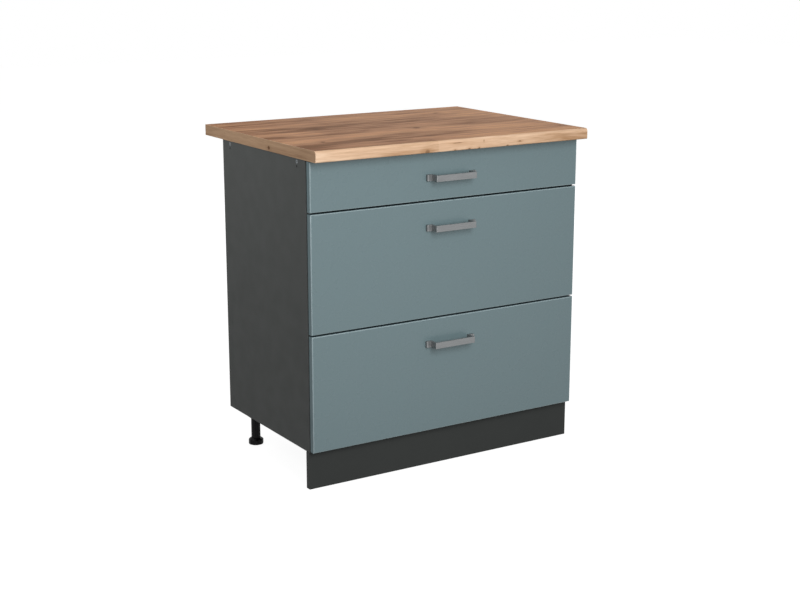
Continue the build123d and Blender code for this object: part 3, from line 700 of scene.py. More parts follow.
class Palette:
    """Every material of the cabinet, built once."""

    def __init__(self) -> None:
        """Builds every material."""
        # The top and the nose are one laminate in lit and shaded copies: the darker top and the paler nose
        # and bend differ by painted light.
        self.top_decor = OakDecor(
            "oak_decor_top", "ab7f60", 0.6, light="c99871", dark="775237", contrast=1.1, lean=0.25,
            knots=(
                Knot((-0.205, 0.055, 0.85), (0.010, 0.009, 0.02)),
                Knot((0.03, -0.06, 0.85), (0.012, 0.010, 0.02)),
                Knot((0.255, 0.19, 0.85), (0.009, 0.007, 0.02)),
                Knot((-0.31, -0.17, 0.85), (0.007, 0.006, 0.02)),
            ),
        ).build()
        # Paler lit copy of the oak on the front edge: painted light. Its lean darkens it to the right, a
        # painted falloff of the lamp's light.
        self.lit_nose_decor = OakDecor(
            "oak_decor_nose_painted_light", "d5b293", 0.6, light="edcfb2", dark="b08967", contrast=0.75, lean=-0.7,
            knots=(
                Knot((-0.093, -0.3, 0.8255), (0.008, 0.02, 0.0065)),
                Knot((-0.005, -0.3, 0.841), (0.018, 0.02, 0.0014)),
                Knot((0.074, -0.3, 0.8412), (0.0016, 0.02, 0.0036)),
                Knot((0.031, -0.3, 0.8235), (0.005, 0.02, 0.0028)),
                Knot((0.185, -0.3, 0.832), (0.005, 0.02, 0.0020)),
                Knot((-0.012, -0.3, 0.8235), (0.0035, 0.02, 0.0022)),
                Knot((0.060, -0.3, 0.8238), (0.004, 0.02, 0.0026)),
                Knot((0.147, -0.3, 0.8240), (0.0045, 0.02, 0.0024)),
            ),
        ).build()
        # The same paler lit copy on the top's front bend and on the strips' front ends: painted highlight.
        self.lit_bend_decor = OakDecor(
            "oak_decor_bend_painted_light", "d7b495", 0.6, light="ecceb1", dark="b8916d", contrast=0.7, lean=-0.7
        ).build()
        self.end_decor = OakDecor(
            "oak_decor_ends", "a98b70", 0.6, light="b99b7f", dark="7f604a", grain=Way.Y, contrast=0.6,
            knots=(
                Knot((-0.4025, -0.0645, 0.8308), (0.02, 0.007, 0.006)),
                Knot((0.4025, 0.11, 0.836), (0.02, 0.009, 0.005)),
            ),
        ).build()
        # The laminate's core round the end strips, made paler than the core itself as a painted highlight
        # on the arris.
        self.laminate_core_and_highlight = Coat("laminate_core_and_highlight", "c9a888", 0.5, cloud=0.1).build()
        self.backing_paper = Coat(
            "backing_paper", "8a7159", 0.8, cloud=0.25, peel=1500.0, shine=0.2
        ).build()
        self.chipboard = RawChipboard("raw_chipboard", "a98559", 0.85).build()
        grain = 1700.0  # the grains of a melamine skin in a metre
        self.board = Coat("dark_melamine", "4c4e4d", 0.55, cloud=0.008, peel=grain, shine=0.06).build()
        # A darker copy of the carcass board for the plinth, which sits low in the shade: painted shade.
        self.plinth = Coat(
            "plinth_melamine", "393b3a", 0.55, cloud=0.02, peel=grain, relief=0.00005, shine=0.08
        ).build()
        self.inside = Coat("white_melamine", "dcdcd8", 0.5, cloud=0.03, peel=grain, shine=0.3).build()
        self.drawer_board = Coat(
            "grey_drawer_board", "c4c6c6", 0.5, cloud=0.04, peel=grain, shine=0.3
        ).build()
        film = {"cloud": 0.015, "peel": 420.0, "relief": 0.000004}
        self.front = Coat("blue_grey_film", "687b7f", 0.28, shine=0.45, **film).build()
        # Paler, glossier copy of the film on the fronts' rounded edges: a painted highlight.
        self.front_arris_highlight = Coat(
            "blue_grey_film_arris", "8b9da1", 0.28, cloud=0.02, peel=420.0, relief=0.000008, shine=0.6
        ).build()
        # Darker, duller copy of the film on the fronts' edge faces: painted shade.
        self.front_edge_shade = Coat("blue_grey_film_edge", "5f7277", 0.4, shine=0.12, **film).build()
        # A darker copy still on the upper and lower edge faces, which lie in the gaps between the fronts:
        # painted shade.
        self.front_gap_shade = Coat("blue_grey_film_joint", "435359", 0.5, shine=0.05, **film).build()
        self.hardboard = Hardboard("raw_hardboard", "6b4a31", 0.8).build()
        self.coated_steel = Coat(
            "powder_coated_steel", "b9bcbd", 0.38, cloud=0.03, peel=2200.0, relief=0.00003,
            edge_colour="cfd1d2",
        ).build()
        self.black_plastic = Coat(
            "black_moulded_plastic", "0b0b0c", 0.42, cloud=0.1, peel=2600.0, shine=0.12,
            edge_colour="1d1d1e",
        ).build()
        self.roller_plastic = Coat("roller_nylon", "e6e4dc", 0.4, peel=1800.0, shine=0.45).build()
        self.handle = Metal("brushed_handle", "7b7d7e", 0.4, bright="9a9c9d", metallic=0.6).build()
        self.plated = Metal("zinc_plated_steel", "a3a5a8", 0.34, bright="d2d4d6", fineness=2600.0).build()
        self.dulled = Metal("dulled_screw_steel", "6d7275", 0.55, bright="8b9092", metallic=0.7).build()
        self.casting = Metal(
            "zinc_casting", "8b8d90", 0.48, bright="b1b3b5", fineness=800.0, relief=0.00008
        ).build()
        self.beech = Timber("beech_dowel", "c79f6e", 0.6).build()


PALETTE = Palette()


# ---------------------------------------------------------------- shaping
def block(low: Vector, high: Vector) -> BMesh:
    """A box between two corners, to be shaped further."""
    mesh = bmesh.new()
    bmesh.ops.create_cube(mesh, size=1.0)
    bmesh.ops.scale(mesh, vec=high - low, verts=mesh.verts)
    bmesh.ops.translate(mesh, vec=(low + high) / 2, verts=mesh.verts)
    return mesh


def outline(corners: Sequence[Sequence[float]]) -> BMesh:
    """A flat face with the given corners."""
    mesh = bmesh.new()
    mesh.faces.new([mesh.verts.new(corner) for corner in corners])
    return mesh


def drawn(mesh: BMesh, step: Vector) -> BMesh:
    """Extrudes all that a flat mesh has by one step.

    Args:
        mesh: a flat face, or a line of edges.
        step: how far, and which way.

    Returns:
        The same mesh.
    """
    if mesh.faces:
        result = bmesh.ops.extrude_face_region(mesh, geom=mesh.faces[:])
    else:
        result = bmesh.ops.extrude_edge_only(mesh, edges=mesh.edges[:])
    moved = [item for item in result["geom"] if isinstance(item, BMVert)]
    bmesh.ops.translate(mesh, vec=step, verts=moved)
    return mesh


def line(points: Sequence[Sequence[float]]) -> BMesh:
    """An open line through a few points."""
    mesh = bmesh.new()
    verts = [mesh.verts.new(point) for point in points]
    for first, second in zip(verts, verts[1:]):
        mesh.edges.new((first, second))
    return mesh


def cut(mesh: BMesh, at: Vector, normal: Vector, clear_outer: bool = False) -> None:
    """Cuts a whole mesh along a plane, and clears what lies outside if that is asked."""
    bmesh.ops.bisect_plane(
        mesh, geom=mesh.verts[:] + mesh.edges[:] + mesh.faces[:], dist=CUT, plane_co=at, plane_no=normal,
        clear_outer=clear_outer,
    )


def rod(radius: float, length: float, soft: float) -> list[tuple[float, float]]:
    """The profile of a solid rod whose ends are softened by a little."""
    return [
        (0.0, 0.0), (radius - soft, 0.0), (radius, soft),
        (radius, length - soft), (radius - soft, length), (0.0, length),
    ]


def turned(
    profile: Sequence[tuple[float, float]], middle: Vector, axis: Way, steps: int, closed: bool = False
) -> BMesh:
    """A round shape, spun from its profile.

    Args:
        profile: distances from the axis, and places along it.
        middle: where the axis starts.
        axis: the axis's direction.
        steps: how many steps make the full turn.
        closed: whether the profile is a ring that doesn't touch the axis.

    Returns:
        The spun mesh.
    """
    mesh = line([(radius, 0.0, rise) for radius, rise in profile])
    if closed:
        mesh.verts.ensure_lookup_table()
        mesh.edges.new((mesh.verts[-1], mesh.verts[0]))
    bmesh.ops.spin(
        mesh, geom=mesh.verts[:] + mesh.edges[:], cent=ORIGIN, axis=(0, 0, 1), dvec=(0, 0, 0),
        angle=2 * pi, steps=steps, use_merge=True, use_duplicate=False,
    )
    bmesh.ops.remove_doubles(mesh, verts=mesh.verts, dist=MERGE)
    tilt = Way.Z.vector.rotation_difference(axis.vector).to_matrix()
    bmesh.ops.rotate(mesh, cent=ORIGIN, matrix=tilt, verts=mesh.verts)
    bmesh.ops.translate(mesh, vec=middle, verts=mesh.verts)
    return mesh


def bevelled(mesh: BMesh, edges: Iterable[BMEdge], width: float, segments: int) -> BMesh:
    """Rounds some edges of a mesh.

    Args:
        mesh: the mesh.
        edges: which of its edges.
        width: how far the rounding reaches from the edge.
        segments: into how many facets it is cut.

    Returns:
        The same mesh.
    """
    bmesh.ops.bevel(
        mesh, geom=list(edges), offset=width, offset_type="OFFSET", segments=segments, profile=0.5,
        affect="EDGES", material=-1, clamp_overlap=True,
    )
    return mesh


def rounded(mesh: BMesh, corners: Sequence[BMVert], radius: float) -> None:
    """Rounds some corners of a flat face."""
    bmesh.ops.bevel(
        mesh, geom=corners, offset=radius, offset_type="OFFSET", segments=4, profile=0.5,
        affect="VERTICES", material=-1, clamp_overlap=True,
    )


def sharp_edges(mesh: BMesh, least: float = radians(40)) -> list[BMEdge]:
    """The edges whose two faces meet at more than an angle."""
    mesh.normal_update()
    return [e for e in mesh.edges if len(e.link_faces) == 2 and e.calc_face_angle(0.0) > least]


def edges_at(mesh: BMesh, **places: float) -> list[BMEdge]:
    """The edges that lie at given places, such as y=..., z=..."""
    def lies(edge: BMEdge) -> bool:
        """Whether both ends of an edge lie there."""
        return all(abs(getattr(v.co, k) - at) < TINY for v in edge.verts for k, at in places.items())

    return [edge for edge in mesh.edges if lies(edge)]


def scaled_about_axis(vert: BMVert, share: float) -> None:
    """Moves a corner towards the Z axis, to a share of its distance."""
    vert.co.x *= share
    vert.co.y *= share


def placed(name: str, data: bpy.types.ID) -> Piece:
    """A new object that shows some data, linked to the scene."""
    piece = bpy.data.objects.new(name, data)
    bpy.context.scene.collection.objects.link(piece)
    return piece


def joined(mesh: BMesh, *others: BMesh) -> BMesh:
    """Adds other meshes to a mesh, and frees them."""
    for other in others:
        other.normal_update()
        data = bpy.data.meshes.new("joined")
        other.to_mesh(data)
        other.free()
        mesh.from_mesh(data)
        bpy.data.meshes.remove(data)
    return mesh


def mirrored(mesh: BMesh) -> BMesh:
    """A mirror image of a mesh, on the cabinet's other side."""
    image = mesh.copy()
    bmesh.ops.scale(image, vec=(-1, 1, 1), verts=image.verts)
    bmesh.ops.reverse_faces(image, faces=image.faces)
    return image


def painted(mesh: BMesh, index: int, test: Callable[[BMFace], bool]) -> BMesh:
    """Gives the faces that pass a test another of the piece's materials."""
    mesh.normal_update()
    for face in mesh.faces:
        if test(face):
            face.material_index = index
    return mesh


@dataclass
class Part:
    """One finished piece of the cabinet.

    Args:
        name: the piece's name.
        mesh: its shape.
        body: the body that it moves with.
        slot: the material slot that it would take its finish from; not used.
        finishes: its materials.
        stands_for: the plain nodes that it replaces.
        sheet: the thickness of sheet metal that its faces get, or 0 for a solid.
        crease: the angle from which an edge stays sharp.
    """

    name: str
    mesh: BMesh
    body: str
    slot: Slot
    finishes: Sequence[Material]
    stands_for: Sequence[str] = ()
    sheet: float = 0.0
    crease: float = radians(32)

    def publish(self) -> Piece:
        """Makes the piece's object, dresses it and ties it to its body.

        Returns:
            The new object.
        """
        bmesh.ops.remove_doubles(self.mesh, verts=self.mesh.verts, dist=MERGE)
        bmesh.ops.recalc_face_normals(self.mesh, faces=self.mesh.faces)
        data = bpy.data.meshes.new(self.name)
        self.mesh.to_mesh(data)
        self.mesh.free()
        piece = placed(self.name, data)
        for finish in self.finishes:
            data.materials.append(finish)
        if self.sheet:
            self._thicken(piece)
        piece.data.shade_smooth()
        piece.data.set_sharp_from_angle(angle=self.crease)
        shading = piece.modifiers.new("even_shading", "WEIGHTED_NORMAL")
        shading.keep_sharp = True
        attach(piece, self.body)
        if self.stands_for:
            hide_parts(*self.stands_for)
        log.info("%s: %d faces, on %s", self.name, len(piece.data.polygons), self.body)
        return piece

    def _thicken(self, piece: Piece) -> None:
        """Gives a piece of sheet metal its thickness, half to either side."""
        wall = piece.modifiers.new("sheet", "SOLIDIFY")
        wall.thickness = self.sheet
        wall.offset = 0.0
        wall.use_even_offset = True
        graph = bpy.context.evaluated_depsgraph_get()
        solid = bpy.data.meshes.new_from_object(piece.evaluated_get(graph), depsgraph=graph)
        piece.modifiers.remove(wall)
        piece.data = solid


def dress(node: str, material: Material) -> None:
    """Gives a carried-over node its finish.

    Args:
        node: the node's name.
        material: the finish.
    """
    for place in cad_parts[node].material_slots:
        place.material = material
    log.info("%s: carried over in %s", node, material.name)


# ---------------------------------------------------------------- worktop and boards
@dataclass
class Worktop:
    """The laminated worktop, with a rounded front edge and edge strips on its ends.

    Args:
        nose: radius of the upper front edge.
        nose_under: radius of the lower front edge.
        laminate: thickness of the laminate that shows round an end strip.
        strip: thickness of an end strip.
        arris: rounding of the other edges.
    """

    nose: float = 0.008
    nose_under: float = 0.003
    laminate: float = 0.0008
    strip: float = 0.0025
    arris: float = 0.0006

    def build(self) -> None:
        """Makes the worktop."""
        low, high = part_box("worktop")
        mesh = block(low, high)
        bevelled(mesh, edges_at(mesh, y=low.y, z=high.z), self.nose, 7)
        bevelled(mesh, edges_at(mesh, y=low.y, z=low.z), self.nose_under, 4)
        ends = [face for face in mesh.faces if abs(face.normal.x) > FACING]
        bmesh.ops.inset_individual(mesh, faces=ends, thickness=self.laminate, depth=0.0)
        bevelled(mesh, sharp_edges(mesh, radians(60)), self.arris, 2)
        for side in (low.x + self.strip, high.x - self.strip):
            cut(mesh, Way.X.vector * side, Way.X.vector)
        p = PALETTE
        finishes = [
            p.top_decor, p.lit_nose_decor, p.end_decor, p.chipboard, p.backing_paper, p.laminate_core_and_highlight,
            p.lit_bend_decor,
        ]
        _, nose, end, rear, under, rim, bend = range(len(finishes))
        ahead, tip = low.y + self.nose - TINY, high.x - self.strip
        # The front faces take the paler lit copies of the oak: painted light.
        forward = [face for face in mesh.faces if face.normal.y < -LEANING]
        painted(mesh, nose, lambda face: face in forward and face.calc_center_median().y < ahead)
        painted(mesh, bend, lambda face: face in forward and face.normal.z > LEANING)
        painted(mesh, bend, lambda face: face in forward and abs(face.calc_center_median().x) > tip)
        painted(mesh, under, lambda face: face.normal.z < -FACING)
        painted(mesh, rear, lambda face: face.normal.y > FACING)
        painted(mesh, end, lambda face: abs(face.normal.x) > TURNED)
        # The thin rim round each end strip takes the pale core colour, partly a painted highlight.
        painted(mesh, rim, lambda face: abs(face.normal.x) > TURNED and self._is_rim(face, low, high))
        Part("worktop_slab", mesh, "carcass", Slot.WORKTOP, finishes, ["worktop"]).publish()

    def _is_rim(self, face: BMFace, low: Vector, high: Vector) -> bool:
        """Whether a face of an end is the thin laminate round the strip."""
        heights = [vert.co.z for vert in face.verts]
        depths = [vert.co.y for vert in face.verts]
        reach = 3 * self.laminate
        flat = max(heights) - min(heights) < reach and max(heights) > high.z - reach
        return flat or (max(depths) - min(depths) < reach and min(depths) < low.y + reach)


@dataclass
class Board:
    """A coated board between two corners, with softened edges.

    Args:
        node: the node that it stands for.
        name: the piece's name.
        body: the body that it moves with.
        slot: its material slot.
        finishes: the coat, and then the finish of the faces that raw names.
        raw: the outward directions of the faces with the second finish.
        rounding: how far its edges are softened.
        segments: facets of the softened edges.
    """

    node: str
    name: str
    body: str
    slot: Slot
    finishes: Sequence[Material]
    raw: Sequence[Vector] = ()
    rounding: float = 0.0006
    segments: int = 2

    def build(self) -> None:
        """Makes the board."""
        mesh = block(*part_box(self.node))
        bevelled(mesh, sharp_edges(mesh), self.rounding, self.segments)
        painted(mesh, 1, lambda face: any(face.normal.dot(way) > FACING for way in self.raw))
        Part(self.name, mesh, self.body, self.slot, self.finishes, [self.node]).publish()


@dataclass
class SideBoard:
    """A side of the carcass, with its linking holes, its screw holes and the groove of the back.

    Args:
        side: which side it is.
        hole: radius of the linking holes.
        hole_drop: top of the board to the middle of a linking hole.
        screw_hole: radius of the holes of the rails' screws.
        screw_drop: top of the board to the middle of a screw hole.
        groove: depth of the back's groove.
        rounding: how far its edges are softened.
    """

    side: Side
    hole: float = 0.0025
    hole_drop: float = 0.019
    screw_hole: float = 0.00455
    screw_drop: float = 0.008
    groove: float = 0.008
    rounding: float = 0.0008

    def build(self) -> None:
        """Makes the side board."""
        node = f"side_panel_{self.side.word}"
        low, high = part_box(node)
        mesh = self._plate(low, high)
        self._cut_groove(mesh)
        rims = [
            edge for edge in sharp_edges(mesh)
            if all(self._on_rim(vert, low, high) for vert in edge.verts)
        ]
        bevelled(mesh, rims, self.rounding, 2)
        banded = low.y + 2 * self.rounding
        painted(mesh, 1, lambda face: abs(face.normal.x) < TURNED and face.calc_center_median().y > banded)
        painted(mesh, 0, lambda face: self._in_hole(face, high))
        name = f"side_board_{self.side.word}"
        Part(name, mesh, "carcass", Slot.BOARD, [PALETTE.board, PALETTE.chipboard], [node]).publish()

    def _plate(self, low: Vector, high: Vector) -> BMesh:
        """The board with its holes, filled from its outlines and drawn to its thickness."""
        mesh = bmesh.new()
        corners = [(low.y, low.z), (high.y, low.z), (high.y, high.z), (low.y, high.z)]
        verts = [mesh.verts.new((low.x, y, z)) for y, z in corners]
        for first, second in zip(verts, verts[1:] + verts[:1]):
            mesh.edges.new((first, second))
        rows = screw_rows()
        for y in rows:
            for radius, drop in ((self.hole, self.hole_drop), (self.screw_hole, self.screw_drop)):
                spot = Matrix.Translation((low.x, y, high.z - drop)) @ Matrix.Rotation(pi / 2, 4, "Y")
                bmesh.ops.create_circle(mesh, cap_ends=False, segments=24, radius=radius, matrix=spot)
        bmesh.ops.triangle_fill(mesh, use_beauty=True, use_dissolve=True, edges=mesh.edges[:])
        return drawn(mesh, Vector((high.x - low.x, 0, 0)))

    def _cut_groove(self, mesh: BMesh) -> None:
        """Sinks the back's groove into the inner face."""
        inward = -self.side.value
        back_low, back_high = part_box("back_panel")
        for at, way in ((back_low.y, Way.Y), (back_high.y, Way.Y), (back_low.z, Way.Z)):
            cut(mesh, way.vector * at, way.vector)
        mesh.normal_update()
        faces = []
        for face in mesh.faces:
            middle = face.calc_center_median()
            behind = back_low.y < middle.y < back_high.y and middle.z > back_low.z
            if behind and face.normal.x * inward > FACING:
                faces.append(face)
        bmesh.ops.inset_region(mesh, faces=faces, thickness=0.0, depth=-self.groove, use_even_offset=False)

    def _in_hole(self, face: BMFace, high: Vector) -> bool:
        """Whether a face belongs to the wall of a hole."""
        middle = face.calc_center_median()
        near = any(abs(middle.y - y) < 2 * self.hole for y in screw_rows())
        return near and self.rounding < high.z - middle.z < 2 * self.hole_drop

    @staticmethod
    def _on_rim(vert: BMVert, low: Vector, high: Vector) -> bool:
        """Whether a corner lies on the board's outer rim."""
        return any(abs(vert.co[axis] - at[axis]) < TINY for axis in (1, 2) for at in (low, high))


def screw_rows() -> list[float]:
    """Where the rails' screws lie along the depth, front one first."""
    depths = [vert.co.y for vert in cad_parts["rail_screws"].data.vertices]
    middle = (min(depths) + max(depths)) / 2
    front = [y for y in depths if y < middle]
    back = [y for y in depths if y >= middle]
    return [(min(row) + max(row)) / 2 for row in (front, back)]


@dataclass
class Carcass:
    """The standing box: sides, bottom, rails, back and plinth.

    Args:
        back_rounding: how far the thin back's edges are softened.
        plinth_rounding: how far the plinth's edges are softened.
    """

    back_rounding: float = 0.0002
    plinth_rounding: float = 0.0008

    def build(self) -> None:
        """Makes every board of the carcass and dresses its hidden fittings."""
        for side in Side:
            SideBoard(side).build()
        coats = [PALETTE.board, PALETTE.chipboard]
        rear = [Way.Y.vector]
        for node, name in (
            ("bottom_panel", "floor_board"),
            ("top_rail_front", "front_rail_board"),
            ("top_rail_back", "back_rail_board"),
        ):
            Board(node, name, "carcass", Slot.BOARD, coats, rear).build()
        backs = [PALETTE.inside, PALETTE.hardboard]
        Board("back_panel", "hardboard_back", "carcass", Slot.BACK, backs, rear, self.back_rounding).build()
        # The plinth takes the darker copy of the board: painted shade.
        plinth = [PALETTE.plinth, PALETTE.chipboard]
        Board(
            "plinth_panel", "plinth_board", "carcass", Slot.BOARD, plinth, [-Way.Z.vector],
            self.plinth_rounding, segments=3,
        ).build()
        dress("panel_dowels", PALETTE.beech)
        dress("cam_locks", PALETTE.casting)
        for node in ("cam_bolts", "worktop_screws", "mounting_screws"):
            dress(node, PALETTE.plated)
        dress("rail_screws", PALETTE.dulled)


# ---------------------------------------------------------------- legs
@dataclass
class Legs:
    """The four plastic legs: fluted tubes in their sockets, and the feet that wind into them.

    Args:
        tube: radius of a tube.
        bore: radius of the bore that takes a foot's stem.
        bore_depth: how far up the bore goes.
        flutes: how many grooves run up a tube.
        flute_depth: how deep they are.
        flute_turn: half of a groove's width, as a turn about the tube.
        lip: how far a tube's ends are softened.
        stem: radius of a foot's threaded stem.
        thread_pitch: from one turn of the thread to the next.
        thread_depth: how deep the thread is.
        rim: radius of a foot's rim.
        rim_top: top of the rim.
        cone_top: top of the cone above it.
        cone: radius of the cone's top.
        lobes: how many notches a foot's rim has.
        notch: radius of a notch.
        notch_offset: the rim to the middle of a notch.
    """

    tube: float = 0.01225
    bore: float = 0.00855
    bore_depth: float = 0.064
    flutes: int = 12
    flute_depth: float = 0.0008
    flute_turn: float = radians(3.5)
    lip: float = 0.0005
    stem: float = 0.0085
    thread_pitch: float = 0.003
    thread_depth: float = 0.0009
    rim: float = 0.02
    rim_top: float = 0.0131
    cone_top: float = 0.018
    cone: float = 0.0131
    lobes: int = 6
    notch: float = 0.0040
    notch_offset: float = 0.0009

    def build(self) -> None:
        """Makes the tubes and the feet, and dresses sockets and clips."""
        middles = []
        for name in ("front_left", "front_right", "rear_left", "rear_right"):
            node = f"levelling_foot_{name}"
            low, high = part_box(node)
            middle = Vector(((low.x + high.x) / 2, (low.y + high.y) / 2, low.z))
            middles.append(middle)
            Part(
                f"lobed_foot_{name}", self._foot(middle, high.z - low.z), node, Slot.BLACK_PLASTIC,
                [PALETTE.black_plastic], [node], crease=radians(28),
            ).publish()
        low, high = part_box("leg_tubes")
        tubes = [self._tube(middle, low.z, high.z) for middle in middles]
        Part(
            "fluted_legs", joined(tubes[0], *tubes[1:]), "carcass", Slot.BLACK_PLASTIC,
            [PALETTE.black_plastic], ["leg_tubes"],
        ).publish()
        for node in ("leg_sockets", "plinth_clips"):
            dress(node, PALETTE.black_plastic)

    def _tube(self, middle: Vector, low: float, high: float) -> BMesh:
        """One fluted tube, open below for its foot's stem."""
        lip, bore_top = self.lip, low + self.bore_depth
        profile = [
            (0.0, bore_top), (self.bore, bore_top), (self.bore, low + lip),
            (self.bore + lip, low), (self.tube - lip, low), (self.tube, low + lip),
            (self.tube, high - lip), (self.tube - lip, high), (0.0, high),
        ]
        mesh = turned(profile, ORIGIN, Way.Z, 10 * self.flutes)
        pitch = 2 * pi / self.flutes
        for vert in mesh.verts:
            reach = hypot(vert.co.x, vert.co.y)
            turn = abs((atan2(vert.co.y, vert.co.x) + pitch / 2) % pitch - pitch / 2)
            if reach > self.tube - 2 * lip:
                depth = self.flute_depth * min(1.0, max(0.0, 1.8 - turn / self.flute_turn))
                scaled_about_axis(vert, (reach - depth) / reach)
        bmesh.ops.translate(mesh, vec=(middle.x, middle.y, 0), verts=mesh.verts)
        return mesh

    def _foot(self, middle: Vector, height: float) -> BMesh:
        """One foot: a lobed base, a cone and a threaded stem."""
        root = self.stem - self.thread_depth
        sole = [(0.0, 0.0), (self.rim - 0.0028, 0.0), (self.rim - 0.0008, 0.0006), (self.rim, 0.0022)]
        shoulder = [(self.rim, self.rim_top - 0.0013), (self.rim - 0.0006, self.rim_top)]
        cone = [
            (self.cone + 0.00065, self.cone_top - 0.0002), (self.cone, self.cone_top),
            (root, self.cone_top),
        ]
        tip = [(root, height - 0.0015), (0.0065, height), (0.0, height)]
        thread: list[tuple[float, float]] = []
        rise = self.cone_top + 0.0012
        while rise + self.thread_pitch < height - 0.002:
            for share, radius in ((0.3, self.stem), (0.45, self.stem), (0.8, root)):
                thread.append((radius, rise + share * self.thread_pitch))
            rise += self.thread_pitch
        profile = sole + shoulder + cone + thread + tip
        mesh = turned(profile, ORIGIN, Way.Z, 180)
        pitch = 2 * pi / self.lobes
        far = self.rim + self.notch_offset
        for vert in mesh.verts:
            reach = hypot(vert.co.x, vert.co.y)
            turn = atan2(vert.co.y, vert.co.x) % pitch - pitch / 2
            across = far * sin(turn)
            if abs(across) < self.notch and reach > self.tube:
                limit = far * cos(turn) - sqrt(self.notch**2 - across**2)
                scaled_about_axis(vert, min(1.0, limit / reach))
        bmesh.ops.translate(mesh, vec=middle, verts=mesh.verts)
        return mesh


# ---------------------------------------------------------------- runners
@dataclass(frozen=True)
class Fitting:
    """The sizes that runners, rollers and steel sides share.

    Args:
        sheet: thickness of the steel.
        fold: outer radius of a fold.
        axle: radius of an axle.
        axle_head: radius of a riveted axle head.
        head_depth: thickness of that head.
        roller: radius of a roller.
        roller_width: width of a roller.
        roller_start: cabinet side to the roller.
        side_play: play beside a roller.
    """

    sheet: float = 0.00125
    fold: float = 0.0016
    axle: float = 0.003
    axle_head: float = 0.0046
    head_depth: float = 0.0008
    roller: float = 0.011
    roller_width: float = 0.0064
    roller_start: float = 0.00185
    side_play: float = 0.0006

    def folded(self, points: Sequence[tuple[float, float]], start: float, end: float) -> BMesh:
        """A folded steel profile along Y, as its middle surface.

        Args:
            points: the X and Z of the profile's corners.
            start: where it starts along Y.
            end: where it ends.

        Returns:
            The surface, which still needs its thickness.
        """
        mesh = drawn(line([(x, start, z) for x, z in points]), Vector((0, end - start, 0)))
        inner = [e for e in mesh.edges if len(e.link_faces) == 2 and e.calc_face_angle(0.0) > radians(30)]
        return bevelled(mesh, inner, self.fold, 3)

    def pin(self, start: Vector, length: float, radius: float, way: int) -> BMesh:
        """A turned pin along X with softened ends."""
        profile = rod(radius, length, min(radius, length) / 4)
        mesh = turned(profile, ORIGIN, Way.X, 32)
        bmesh.ops.scale(mesh, vec=(way, 1, 1), verts=mesh.verts)
        bmesh.ops.translate(mesh, vec=start, verts=mesh.verts)
        return mesh

    def publish(
        self, side: Side, steel: BMesh, pin: BMesh, names: tuple[str, str], body: str, node: str
    ) -> None:
        """Publishes a steel profile and its axle, both made for the left side.

        Args:
            side: the side that they are for.
            steel: the profile's middle surface.
            pin: the riveted axle.
            names: the names of profile and axle, without the side.
            body: the body that both move with.
            node: the node that they stand for.
        """
        if side is Side.RIGHT:
            steel, pin = mirrored(steel), mirrored(pin)
        name, pin_name = (f"{name}_{side.word}" for name in names)
        coat = [PALETTE.coated_steel]
        Part(name, steel, body, Slot.COATED_STEEL, coat, [node], sheet=self.sheet).publish()
        Part(pin_name, pin, body, Slot.ZINC_STEEL, [PALETTE.plated]).publish()


@dataclass
class Runner:
    """The cabinet's own steel track of one drawer, on one side.

    Args:
        drawer: the drawer's place.
        side: the cabinet's side.
        width: flange, from the cabinet side inwards.
        lip: how far the flanges' edges turn in.
        notch: length of the flanges cut away for the roller.
        slope: how far the web's top front corner is cut back.
        fitting: the shared sizes.
    """

    drawer: str
    side: Side
    width: float = 0.011
    lip: float = 0.003
    notch: float = 0.028
    slope: float = 0.006
    fitting: Fitting = Fitting()

    def build(self) -> None:
        """Makes the track and its roller's axle."""
        node = f"runner_{self.drawer}_{self.side.word}"
        low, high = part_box(f"runner_{self.drawer}_left")
        f = self.fitting
        half = f.sheet / 2
        web, rim = low.x + half, low.x + self.width - half
        bottom, top = low.z + half, high.z - half
        channel = [
            (rim, low.z + f.sheet + self.lip), (rim, bottom), (web, bottom),
            (web, top), (rim, top), (rim, high.z - self.lip),
        ]
        mesh = f.folded(channel, low.y + self.notch, high.y)
        nose = f.folded([(rim, bottom), (web, bottom), (web, top)], low.y, low.y + self.notch)
        cut(nose, Vector((0, low.y, high.z - self.slope)), Vector((0, -1, 1)), clear_outer=True)
        end = high.y - half
        tongue = outline([(web, end, bottom), (rim, end, bottom), (rim, end, top), (web, end, top)])
        names = (f"runner_track_{self.drawer}", f"runner_axle_{self.drawer}")
        f.publish(self.side, joined(mesh, nose, tongue), self._axle(low), names, "carcass", node)

    def _axle(self, low: Vector) -> BMesh:
        """The riveted axle of the runner's roller."""
        f = self.fitting
        roller_low, roller_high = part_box(f"runner_{self.drawer}_rollers")
        middle = (roller_low + roller_high) / 2
        reach = f.roller_start + f.roller_width + f.side_play
        start = Vector((low.x + f.sheet / 2, middle.y, middle.z))
        pin = f.pin(start, reach - f.sheet / 2 + f.head_depth / 2, f.axle, 1)
        head = f.pin(Vector((low.x + reach, middle.y, middle.z)), f.head_depth, f.axle_head, 1)
        return joined(pin, head)


